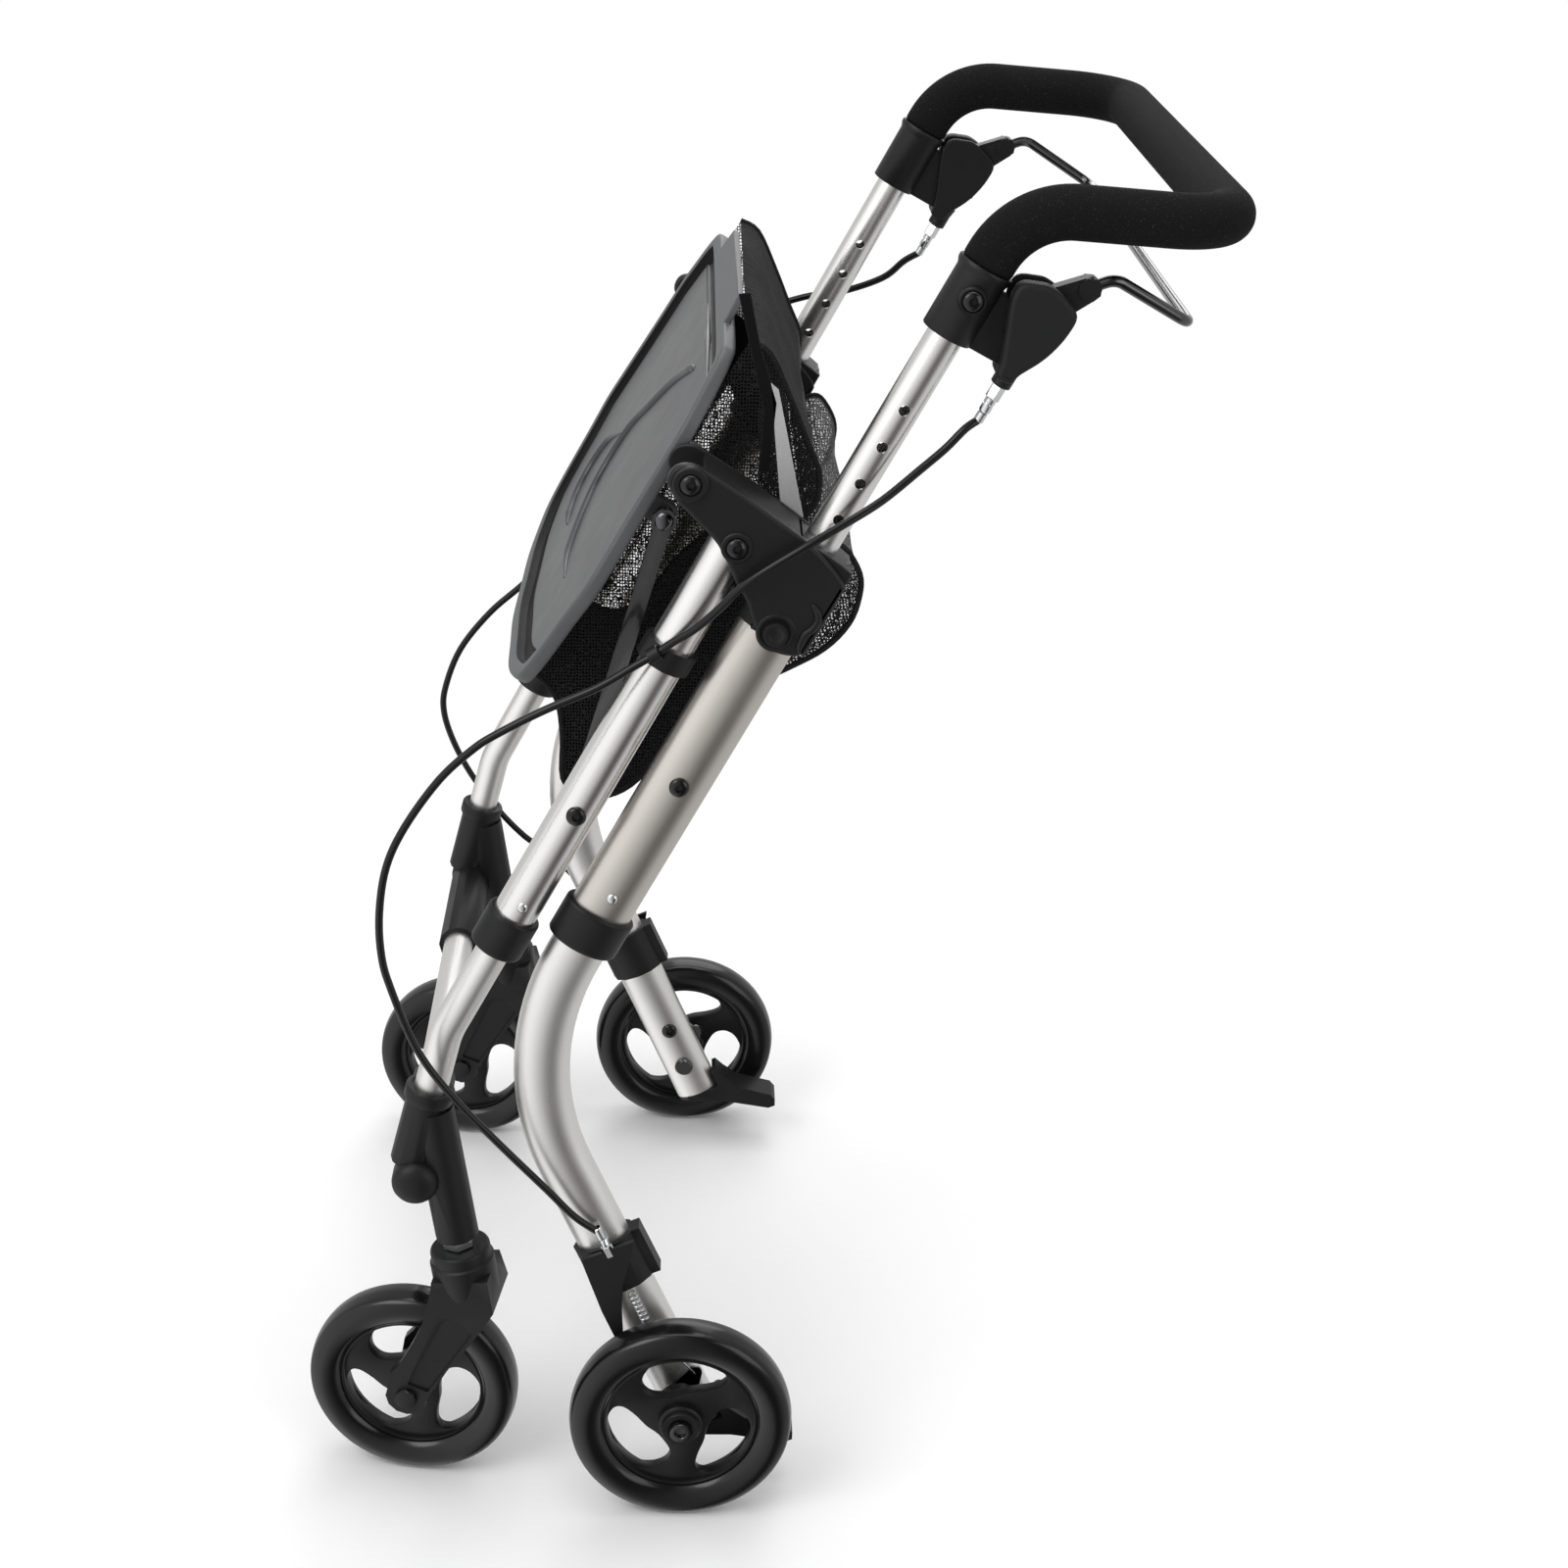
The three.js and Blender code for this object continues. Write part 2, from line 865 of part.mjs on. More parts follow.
// Rear leg: straight in the upper tube, one long bend, straight down past the axle.
function rearLegShape() {
  const top = onLine(legTop, 0);
  const foot = onLeg(-legFoot, 0);
  const reach = onLeg(0, 0).sub(onLine(0, 0));
  const slope = Math.sin(frameLean) * Math.cos(legLean) + Math.cos(frameLean) * Math.sin(legLean);
  const along = (reach.y * Math.cos(legLean) + reach.z * Math.sin(legLean)) / slope;
  const corner = onLine(along, 0);
  const path = bent([top, corner, foot], [legBendRadius], legBendSteps);
  const tube = sweep(legOuter, path, legInner);
  const screwAt = onLeg(brakeScrewUp, brakeScrewBack);
  const screw = dome(screwHeadRadius, screwHeadHeight, legFace, screwAt.y, screwAt.z);
  const axle = rodX(boreFor(axleRadius), sideX - overrun - legHalfWidth, legFace + overrun, 0, wheelRadius, boltSides);
  return cut(join(tube, screw), axle);
}

// A collar on a telescoping joint: a bore for the upper tube and a narrower lip for the lower one.
function collarShape(outer, upper, lower, top, bottom) {
  const body = chamfered(outer, bottom, top, collarChamfer);
  const seat = column(upper, bottom + collarLip, top + overrun);
  const lip = column(lower, bottom - overrun, top);
  return cut(body, seat, lip);
}

// Shoulder bracket: two cheeks, the sleeve on the oval tube, pivot pins and screw bosses.
function bracketShape() {
  const outline = bracketShares.map(([along, across]) => [across * trayPivotAcross, -along * lockAt]);
  const outer = slab(outline, cheekOuterX - cheekThickness - sideX, cheekOuterX - sideX);
  const inner = slab(outline, innerCheekX - sideX, innerCheekX + innerCheekThickness - sideX);
  const halfDepth = rearTubeDepth / 2 + gap + sleeveWall;
  const halfWidth = rearTubeWidth / 2 + gap + sleeveWall;
  const sleeve = column(oval(halfWidth, halfDepth, tubeSides), sleeveBottom, sleeveTop);
  const reach = innerCheekX - sideX;
  const block = common(
    slab(outline, reach, cheekOuterX - sideX),
    box(reach, cheekOuterX - sideX, -halfDepth * blockFrontShare, halfDepth, sleeveBottom, sleeveTop),
  );
  const trayPin = rodX(pivotRadius, earX - sideX - gap, reach + overrun, trayPivotAcross, trayPivotAlong, boltSides);
  const frontPin = rodX(pivotRadius, reach, cheekOuterX - sideX, frontPivotAcross, frontPivotAlong, boltSides);
  const face = cheekOuterX - sideX;
  const trayBoss = rodX(trayBossRadius, face - overrun, face + bossHeight, trayPivotAcross, trayPivotAlong, boltSides);
  const frontBoss = rodX(frontBossRadius, face - overrun, face + bossHeight / 2, frontPivotAcross, frontPivotAlong, boltSides);
  const trayHead = dome(screwHeadRadius, screwHeadHeight, face + bossHeight, trayPivotAcross, trayPivotAlong);
  const frontHead = dome(screwHeadRadius, screwHeadHeight, face + bossHeight / 2, frontPivotAcross, frontPivotAlong);
  const lockBoss = rodX(lockBossRadius, face - overrun, face + gap, 0, lockAt, boltSides);
  const ridge = box(face - gap, face + bossHeight, halfDepth - ridgeWidth, halfDepth, lockAt, lockAt + ridgeLength);
  const body = join(outer, inner, sleeve, block, trayPin, frontPin, trayBoss, frontBoss, lockBoss, ridge, trayHead, frontHead);
  const socket = column(
    oval(rearTubeWidth / 2 + gap, rearTubeDepth / 2 + gap, tubeSides),
    sleeveBottom * 2,
    rearTubeTop + gap,
  );
  const bore = rodZ(around(handleRadius + gap, tubeSides), sleeveBottom, -sleeveBottom, 0, 0, tubeSides);
  const pin = rodX(buttonPinRadius + gap, 0, face + overrun, 0, lockAt, smallSides);
  return cut(body, socket, bore, pin);
}

// Lock button: a round head on the bracket, with a thumb recess, and a pin that reaches the handle tube.
function buttonShape() {
  const face = cheekOuterX - sideX + 2 * gap;
  const head = rodX(buttonRadius, face, face + buttonHeight, 0, 0, boltSides);
  const recess = box(face + buttonHeight / 2, face + buttonHeight + overrun, 0, buttonRadius / 2, -buttonRadius / 2, buttonRadius / 2);
  const pin = rodX(buttonPinRadius, handleRadius + gap, face + gap, 0, 0, smallSides);
  return cut(join(head, pin), recess);
}

// Front upper tube: hinge hole at the top, screw heads outside, the link's pin inside.
function frontTubeShape() {
  const outer = oval(frontTubeRadius, frontTubeRadius, tubeSides);
  const inner = oval(frontTubeRadius - frontTubeWall, frontTubeRadius - frontTubeWall, tubeSides);
  const bottom = frontTubeBottom - frontPivotAlong;
  const tube = column(outer, bottom, frontTubeTop, inner);
  const cap = column(outer, frontTubeTop - frontTubeWall, frontTubeTop);
  const pinAt = linkPinAt - frontPivotAlong;
  const screw = dome(screwHeadRadius, screwHeadHeight, frontTubeRadius, 0, pinAt);
  const rivet = dome(rivetRadius, rivetHeight, frontTubeRadius, 0, frontRivetAt - frontPivotAlong);
  const linkFace = linkX - sideX;
  const pin = rodX(pivotRadius, linkFace - gap - linkHeadHeight, 0, 0, pinAt, boltSides);
  const head = rodX(linkHeadRadius, linkFace - gap - linkHeadHeight, linkFace - gap, 0, pinAt, boltSides);
  const shoulder = rodX(linkHeadRadius, linkFace + linkThickness + gap, -frontTubeRadius / 2, 0, pinAt, boltSides);
  const hinge = rodX(boreFor(pivotRadius), -frontTubeRadius - overrun, frontTubeRadius + overrun, 0, 0, boltSides);
  return cut(join(tube, cap, screw, rivet, pin, head, shoulder), hinge);
}

function frontLegPath() {
  const top = onLine(frontLegTop, frontPivotAcross);
  const corner = onLine(frontBendAt, frontPivotAcross);
  const fall = corner.z - frontLegEndZ;
  const end = corner.clone().add(new THREE.Vector3(0, -fall * Math.tan(frontLegLean), -fall));
  return [top, corner, end];
}

function frontLegShape() {
  const outer = oval(frontLegRadius, frontLegRadius, tubeSides);
  const inner = oval(frontLegRadius - frontLegWall, frontLegRadius - frontLegWall, tubeSides);
  return sweep(outer, bent(frontLegPath(), [frontBendRadius], frontBendSteps), inner);
}

// Cable clip: a band round the front tube with an eye that the cable runs through.
function clipShape() {
  const outer = oval(frontTubeRadius + gap + clipWall, frontTubeRadius + gap + clipWall, tubeSides);
  const half = clipHeight / 2;
  const band = column(outer, clipAt - half, clipAt + half).rotateX(-frameLean);
  const seat = onLine(0, frontPivotAcross);
  band.translate(seat.x, seat.y, seat.z);
  const bore = column(oval(frontTubeRadius + gap, frontTubeRadius + gap, tubeSides), clipAt - clipHeight, clipAt + clipHeight);
  bore.rotateX(-frameLean).translate(seat.x, seat.y, seat.z);
  const eyeRadius = cableRadius + clipEyeRoom + clipEyeWall;
  const eye = rodZ(eyeRadius, -clipEyeLength / 2, clipEyeLength / 2, 0, 0, boltSides);
  eye.rotateX(-clipEyeLean).translate(clipEyeX, clipEyeY, clipEyeZ);
  const way = rodZ(cableRadius + clipEyeRoom, -clipEyeLength, clipEyeLength, 0, 0, boltSides);
  way.rotateX(-clipEyeLean).translate(clipEyeX, clipEyeY, clipEyeZ);
  return cut(join(band, eye), bore, way);
}

// Caster bracket: sleeve on the front leg, stem tube, long socket for the cross tube, clamp bolt.
function casterBracketShape() {
  const [, corner, end] = frontLegPath();
  const legAt = (z) => corner.y - (corner.z - z) * Math.tan(frontLegLean);
  const sleeveLength = (bracketSleeveTopZ - bracketSleeveBottomZ) / Math.cos(frontLegLean);
  const sleeve = rodZ(bracketSleeveRadius, 0, sleeveLength, 0, 0, tubeSides);
  sleeve.rotateX(-frontLegLean).translate(sideX, legAt(bracketSleeveBottomZ), bracketSleeveBottomZ);
  const tube = rodZ(bracketRadius, nutHeight + gap, bracketTubeTop, 0, 0, tubeSides);
  tube.rotateX(stemLean).translate(sideX, stemY, stemZ);
  const socket = rodX(socketRadius, socketInnerX, socketOuterX, socketY, socketZ, tubeSides);
  const web = slab(
    [
      [legAt(bracketSleeveTopZ) - bracketSleeveRadius * webWidthShare, bracketSleeveTopZ - overrun],
      [socketY - socketRadius, socketZ],
      [socketY, socketZ - socketRadius],
      [stemY, socketZ - socketRadius],
      [legAt(bracketSleeveTopZ) + bracketSleeveRadius * webWidthShare, bracketSleeveTopZ - overrun],
    ],
    sideX - bracketRadius * webWidthShare,
    sideX + bracketRadius * webWidthShare,
  );
  const boltY = legAt(clampBoltZ);
  const bolt = rodY(clampBoltRadius, boltY, boltY + clampBoltReach, sideX, clampBoltZ, boltSides);
  const legBore = rodZ(frontLegRadius + gap, -gap, sleeveLength + overrun * 2, 0, 0, tubeSides);
  legBore.rotateX(-frontLegLean).translate(sideX, end.y, end.z);
  const crossBore = rodX(crossTubeRadius + gap, socketInnerX - overrun, crossTubeHalf + gap, socketY, socketZ, tubeSides);
  const stemBore = rodZ(boreFor(stemRadius), -overrun, stemInBracket + nutHeight + 2 * gap, 0, 0, boltSides);
  stemBore.rotateX(stemLean).translate(sideX, stemY, stemZ);
  return cut(join(sleeve, tube, socket, web, bolt), legBore, crossBore, stemBore);
}

// Stem bolt with the nut under the bracket.
function stemShape() {
  const bolt = rodZ(stemRadius, -stemInFork, stemInBracket + nutHeight, 0, 0, boltSides);
  const nut = rodZ(nutRadius, gap, nutHeight, 0, 0, hexSides);
  return join(bolt, nut);
}

// Caster fork: a turned head, two tapering cheeks with a sunk panel outside, and the axle.
function forkShape() {
  const eye = [-casterTrail, -casterDrop];
  const rear = forkShares.map(([y, z]) => [y * casterTrail, z * casterDrop]);
  const front = forkFrontShares.map(([y, z]) => [y * casterTrail, z * casterDrop]);
  const foot = [];
  for (let i = 0; i <= forkFootSteps; i++) {
    const turn = forkFootStart + (i / forkFootSteps) * forkFootTurn;
    foot.push([eye[0] + forkEyeRadius * Math.cos(turn), eye[1] + forkEyeRadius * Math.sin(turn)]);
  }
  const outline = [...rear, ...foot, ...front];
  const half = forkCheekInner + forkCheekThickness;
  const cheeks = slab(outline, -half, half);
  const profile = [
    [0, -forkHeadHeight],
    [forkHeadRadius, -forkHeadHeight],
    [forkHeadRadius, -forkStep],
    [forkHeadRadius - forkStepDrop, -forkStep],
    [forkHeadRadius - forkStepDrop, -forkStepDrop],
    [forkHeadRadius - 2 * forkStepDrop, 0],
    [0, 0],
  ];
  const head = turned(profile, tubeSides).rotateY(-Math.PI / 2);
  const wheelRoom = rodX(casterWheelRadius + forkWheelRoom, -forkCheekInner, forkCheekInner, eye[0], eye[1], wheelSides);
  const pocket = forkPocketShares.map(([y, z]) => [y * casterTrail, z * casterDrop]);
  const near = slab(pocket, half - forkPocketDepth, half + overrun);
  const far = slab(pocket, -half - overrun, forkPocketDepth - half);
  const bore = rodZ(boreFor(stemRadius), -stemInFork - gap, overrun, 0, 0, boltSides);
  const axle = rodX(axleRadius, -half, half, eye[0], eye[1], boltSides);
  const nearHead = rodX(axleHeadRadius, half - gap, half + axleHeadHeight, eye[0], eye[1], boltSides);
  const farHead = rodX(axleHeadRadius, -half - axleHeadHeight, gap - half, eye[0], eye[1], boltSides);
  return join(cut(join(cheeks, head), wheelRoom, near, far, bore), axle, nearHead, farHead);
}

// Wheel: the tyre is bonded to a moulded centre with three swept spokes.
function wheelShape(radius, outerHub, innerHub, innerRadius) {
  const tyre = tyreShares.map(([r, x]) => new THREE.Vector2(r * radius, x * wheelWidth));
  tyre.push(tyre[0].clone());
  const ring = new THREE.LatheGeometry(tyre, wheelSides).rotateZ(-Math.PI / 2);
  const web = rodX(rimShare * radius + gap, -webThickness / 2, webThickness / 2, 0, 0, wheelSides);
  const windows = [];
  for (let i = 0; i < windowCount; i++) {
    const start = windowStart + (i * 2 * Math.PI) / windowCount;
    const outline = windowShares.map(([r, turn]) => {
      const angle = start + (turn * 2 * Math.PI) / windowCount;
      return [r * radius * Math.cos(angle), r * radius * Math.sin(angle)];
    });
    windows.push(slab(outline, -wheelWidth, wheelWidth));
  }
  const profile = [
    [0, -innerHub],
    [innerRadius, -innerHub],
    [innerRadius, 0],
    [hubRadius, 0],
    [hubRadius, outerHub * hubStepShare],
    [hubRadius * hubTopShare, outerHub],
    [0, outerHub],
  ];
  const hub = turned(profile, hubSides);
  const bore = rodX(boreFor(axleRadius), -wheelWidth, wheelWidth, 0, 0, boltSides);
  return cut(join(ring, cut(web, ...windows), hub), bore);
}

// Rear axle: a bolt through the leg, with a shoulder that the brake arm turns on.
function rearAxleShape() {
  const inner = sideX - legHalfWidth - gap;
  const shoulderStart = legFace + gap;
  const shoulderEnd = rearWheelX - drumReach - gap;
  const outer = rearWheelX + hubCapReach + gap;
  const profile = [
    [0, inner - axleHeadHeight],
    [axleHeadRadius * axleHeadShare, inner - axleHeadHeight],
    [axleHeadRadius, inner - axleHeadHeight / 2],
    [axleHeadRadius, inner],
    [axleRadius, inner],
    [axleRadius, shoulderStart],
    [axleShoulderRadius, shoulderStart],
    [axleShoulderRadius, shoulderEnd],
    [axleRadius, shoulderEnd],
    [axleRadius, outer],
    [axleHeadRadius, outer],
    [axleHeadRadius, outer + axleHeadHeight / 2],
    [axleHeadRadius * axleHeadShare, outer + axleHeadHeight],
    [0, outer + axleHeadHeight],
  ];
  return turned(profile, boltSides).translate(0, 0, wheelRadius);
}

// Outline of a strap that runs from one round end to another, in Y and Z.
function strap(a, radiusA, b, radiusB) {
  const length = Math.hypot(b[0] - a[0], b[1] - a[1]);
  const heading = Math.atan2(b[1] - a[1], b[0] - a[0]);
  const side = Math.acos((radiusA - radiusB) / length);
  const points = [];
  for (let i = 0; i <= strapSteps; i++) {
    const turn = heading - side + (2 * side * i) / strapSteps;
    points.push([b[0] + radiusB * Math.cos(turn), b[1] + radiusB * Math.sin(turn)]);
  }
  for (let i = 0; i <= strapSteps; i++) {
    const turn = heading + side + ((2 * Math.PI - 2 * side) * i) / strapSteps;
    points.push([a[0] + radiusA * Math.cos(turn), a[1] + radiusA * Math.sin(turn)]);
  }
  return points;
}

// Brake clamp on the rear leg: a sleeve, a flange behind it, the shield and the block that stops the cable.
function brakeClampShape() {
  const halfWidth = legHalfWidth + gap;
  const halfDepth = legHalfDepth + gap;
  const outer = oval(halfWidth + brakeClampWall, halfDepth + brakeClampWall, tubeSides);
  const sleeve = column(outer, brakeClampBottom, brakeClampTop);
  const flangeBack = halfDepth + 2 * brakeClampWall + gap;
  const flange = box(-halfWidth / 2, halfWidth / 2, halfDepth, flangeBack, brakeClampBottom, brakeClampTop);
  const plateFrom = shieldX - sideX;
  const plateTo = plateFrom + shieldThickness;
  const outline = shieldShares.map(([up, back]) => [back * brakeClampTop, up * brakeClampTop]);
  const plate = slab(outline, plateFrom, plateTo);
  const block = box(halfWidth, plateTo - gap, springBack - stopHalf, springBack + stopHalf, springTop + 2 * gap + 2 * springWire, stopTop);
  const trimmed = common(block, slab(outline, 0, plateTo));
  const bore = column(oval(halfWidth, halfDepth, tubeSides), brakeClampBottom - overrun, brakeClampTop + overrun);
  const seat = rodZ(boreFor(lowerAdjusterRadius), stopTop, brakeClampTop + overrun, lowerAdjusterX - sideX, springBack, boltSides);
  return cut(join(sleeve, flange, plate, trimmed), bore, seat);
}

// Screw barrel that ends a brake cable: a hexagon with a round neck towards the cable.
function adjusterShape(radius, neckRadius, length, hexLength) {
  const hex = rodZ(radius, 0, hexLength, 0, 0, hexSides);
  const neck = rodZ(neckRadius, 0, length, 0, 0, boltSides);
  return join(hex, neck);
}

// Return spring: one wire, curled above and running on to the brake arm below.
function springPoints() {
  const x = springX - sideX;
  const steps = springCurls * springStepsPerCurl;
  const points = [new THREE.Vector3(x, springBack + springRadius, springTop + 2 * springWire)];
  for (let i = 0; i <= steps; i++) {
    const turn = Math.PI / 2 + (i / springStepsPerCurl) * 2 * Math.PI;
    const up = springTop + ((springUp - springTop) * i) / steps;
    points.push(new THREE.Vector3(x + springRadius * Math.cos(turn), springBack + springRadius * Math.sin(turn), up));
  }
  points.push(new THREE.Vector3(x, springBack + springRadius, springUp - 2 * springWire));
  points.push(new THREE.Vector3(x, wireBendBack, wireBendUp));
  points.push(new THREE.Vector3(x, brakeHookBack, brakeHookUp));
  return points;
}

function springShape() {
  return sweep(oval(springWire, springWire, springSides), springPoints());
}

// The least gap between two turns of the spring, from its middle line.
function springGap() {
  const points = springPoints();
  let least = Infinity;
  for (let i = 1; i < points.length - springStepsPerCurl / 2; i++) {
    for (let k = i + springStepsPerCurl / 2; k < points.length; k++) {
      least = Math.min(least, points[i].distanceTo(points[k]) - 2 * springWire);
    }
  }
  return least;
}

// Brake arm: an eye on the axle's shoulder and a toe that the spring wire hooks.
function brakeArmShape() {
  const from = legFace + gap - sideX;
  const outline = strap([0, 0], brakeArmEye, [brakeHookBack, brakeHookUp], brakeHookRadius);
  const eye = rodX(boreFor(axleShoulderRadius), from - overrun, from + overrun + brakeArmThickness, 0, 0, boltSides);
  return cut(slab(outline, from, from + brakeArmThickness), eye);
}

// Tipping pedal: a plug and cap in the foot of the leg, and a blade behind it.
function pedalShape() {
  const plugOval = oval(legHalfWidth - legWall - gap, legHalfDepth - legWall - gap, tubeSides);
  const capTop = -legFoot - gap;
  const plug = column(plugOval, capTop - gap, plugLength - legFoot);
  const cap = column(legOuter, capTop - plugCap, capTop);
  const heel = legHalfDepth + 2 * gap;
  const outline = [
    [-heel / 2, capTop - plugCap],
    ...pedalShares.map(([back, up]) => [back * pedalReach, up * pedalDrop]),
    [heel + plugCap, plugLength - legFoot],
    [heel, plugLength - legFoot],
    [heel, capTop],
    [-heel / 2, capTop],
  ];
  const blade = slab(outline, -pedalWidth / 2, pedalWidth / 2);
  return join(plug, cap, blade);
}

// Handle clamp: barrel with a lip, screw boss, the web and inner half of the brake housing.
function handleClampShape() {
  const profile = [
    [0, clampBottom],
    [clampRadius, clampBottom],
    [clampRadius, clampTop - clampLipHeight],
    [clampLipRadius, clampTop - clampLipHeight / 2],
    [clampLipRadius, clampTop],
    [0, clampTop],
  ];
  const barrel = turned(profile, tubeSides).rotateY(-Math.PI / 2);
  const boss = rodX(clampScrewRadius, 0, clampRadius + clampScrewX, 0, clampScrewAt, boltSides);
  const screw = dome(screwHeadRadius, screwHeadHeight, clampRadius + clampScrewX, 0, clampScrewAt);
  const outline = housingShares.map(([along, across]) => [across * housingReach, housingFoot + along * housingLength]);
  const plate = slab(outline, -housingHalf - housingWall, -housingHalf);
  const low = box(-housingHalf - housingWall, housingHalf, 0, housingReach, 0, housingLow);
  const half = common(slab(outline, -housingHalf - housingWall, housingHalf), low);
  const web = slab(
    [
      [0, clampBottom],
      [noseAcross - noseRadius, clampBottom],
      [noseAcross, housingLow - noseRadius],
      [clampRadius + housingWall, clampTop - clampRadius / 2],
      [0, clampTop - clampRadius / 2],
    ],
    -housingHalf,
    housingHalf,
  );
  const nose = rodZ(noseRadius, housingFoot, housingFoot + noseLength, 0, noseAcross, boltSides);
  const pin = rodX(leverPinRadius, -housingHalf - gap, housingHalf, leverPivotAcross, leverPivotAlong, boltSides);
  const bore = rodZ(around(handleRadius + gap, tubeSides), clampBottom - overrun, clampTop + overrun, 0, 0, tubeSides);
  return cut(join(barrel, boss, screw, plate, half, web, nose, pin), bore);
}

// Outer cover of the brake housing, with softened edges.
function coverShape() {
  const outline = housingShares.map(([along, across]) => [across * housingReach, housingFoot + along * housingLength]);
  const from = housingHalf + gap;
  const cover = chamfered(outline, from, from + coverThickness, coverBevel).applyMatrix4(sideways);
  const noseTop = housingFoot + noseLength + gap;
  return cut(cover, rodZ(noseRadius + gap, housingFoot - overrun, noseTop, 0, noseAcross, boltSides));
}

// Lever root: a disc on the pivot pin and the block that holds the end of the brake bar.
function leverRootShape() {
  const pivot = [leverPivotAcross, leverPivotAlong];
  const end = [leverEndAcross, leverEndAlong];
  const arm = slab(strap(pivot, leverDiscRadius, end, leverBlockRadius), -leverHalfWidth, leverHalfWidth);
  const block = rodX(leverBlockRadius, -leverBlockHalf, leverBlockHalf, end[0], end[1], boltSides);
  const eye = rodX(boreFor(leverPinRadius), -leverBlockHalf, leverBlockHalf, pivot[0], pivot[1], boltSides);
  const root = onLine(leverEndAlong, leverEndAcross);
  const heading = Math.atan2(barRiseY - root.y, barRiseZ - root.z) - frameLean;
  const socket = rodZ(around(barRadius + gap, boltSides), -gap, 2 * leverBlockRadius, 0, 0, boltSides);
  socket.rotateX(-heading).translate(0, end[0], end[1]);
  return cut(join(arm, block), eye, socket);
}

// Brake bar: one rod from lever to lever, behind the grip.
function barShape() {
  const start = onLine(leverEndAlong, leverEndAcross);
  const half = [start, new THREE.Vector3(sideX, barRiseY, barRiseZ), new THREE.Vector3(barRearX, barRearY, barRearZ)];
  const other = half.map((point) => new THREE.Vector3(-point.x, point.y, point.z)).reverse();
  const radii = [barBendRadius, barBendRadius, barBendRadius, barBendRadius];
  return sweep(oval(barRadius, barRadius, smallSides), bent([...half, ...other], radii, barBendSteps));
}

// The corners of the handle's middle line, from one end to the other, starting as low as asked.
function handleCorners(start) {
  const first = onLine(start, 0);
  const rise = gripRise / Math.cos(frameLean);
  const half = [first, onLine(rise, 0), new THREE.Vector3(sideX, gripRearY, gripHeight - gripRearDrop)];
  const other = half.map((point) => new THREE.Vector3(-point.x, point.y, point.z)).reverse();
  return [...half, ...other];
}

function handlePath(start) {
  const radii = [gripBendRadius, gripCornerRadius, gripCornerRadius, gripBendRadius];
  return bent(handleCorners(start), radii, gripBendSteps);
}

// Handle tube: bored from below as far as the clamps, with a row of height holes on each upright.
function handleTubeShape() {
  const tube = sweep(oval(handleRadius, handleRadius, gripSides), handlePath(handleBottom));
  const tools = [];
  for (const side of [1, -1]) {
    const upright = [];
    upright.push(rodZ(handleRadius - handleWall, handleBottom - overrun, clampBottom, 0, 0, boltSides));
    for (let i = 0; i < holeCount; i++) {
      const along = holeFirst - i * holePitch;
      upright.push(rodX(holeRadius, -handleRadius - overrun, handleRadius + overrun, 0, along, smallSides));
    }
    for (const tool of upright) {
      tools.push(tool.rotateX(-frameLean).translate(side * sideX, lineY, lineZ));
    }
  }
  return cut(tube, ...tools);
}

// Foam grip: a sleeve on the handle's upper part, from clamp to clamp.
function foamShape() {
  const outer = oval(foamRadius, foamRadius, gripSides);
  const bore = oval(handleRadius + gap, handleRadius + gap, gripSides);
  return sweep(outer, handlePath(foamStart), bore);
}

// Brake cable: from the screw barrel under the housing to the one on the rear leg.
function cableShape(route) {
  const top = onLine(housingFoot - gap - adjusterLength - gap, noseAcross);
  const topOn = onLine(housingFoot - 2 * gap - adjusterLength - 2 * cableRadius, noseAcross);
  const footUp = stopTop + gap + lowerAdjusterLength + gap;
  const foot = onLeg(footUp, springBack, lowerAdjusterX);
  const footOn = onLeg(footUp + 2 * cableRadius, springBack, lowerAdjusterX);
  const middle = route.map(([x, y, z]) => new THREE.Vector3(x, y, z));
  const curve = new THREE.CatmullRomCurve3([topOn, ...middle, footOn]);
  const points = [top, ...curve.getSpacedPoints(cableSteps), foot];
  return sweep(oval(cableRadius, cableRadius, cableSides), points);
}

// A flat outline in X and Z, as thick as from one Y to another.
function panel(points, fromY, toY, ...holes) {
  return column(points, -toY, -fromY, ...holes).rotateX(Math.PI / 2);
}

// An outline drawn in by a distance, corner by corner.
function inset(points, distance) {
  return points.map((here, i) => {
    const before = points[(i + points.length - 1) % points.length];
    const after = points[(i + 1) % points.length];
    const along = [after[0] - before[0], after[1] - before[1]];
    const length = Math.hypot(along[0], along[1]);
    return [here[0] - (along[1] / length) * distance, here[1] + (along[0] / length) * distance];
  });
}

function trayOutline() {
  const lower = trayShares.map(([x, z]) => [x * trayHalfWidth, z * trayFall]);
  const upper = trayCornerShares.map(([x, z]) => [x * trayHalfWidth, z * trayRise]);
  const right = [...lower, ...upper];
  const left = right.slice(1).map(([x, z]) => [-x, z]).reverse();
  return [...right, ...left];
}

// Outline of a lug that stands on a flat at one Y, with a round end on its pivot.
function lugOutline(y, z, radius, baseY) {
  const points = [[baseY, z + radius]];
  for (let i = 0; i <= strapSteps; i++) {
    const turn = Math.PI / 2 - (i / strapSteps) * Math.PI;
    points.push([y + radius * Math.cos(turn), z + radius * Math.sin(turn)]);
  }
  points.push([baseY, z - radius]);
  return points.reverse();
}

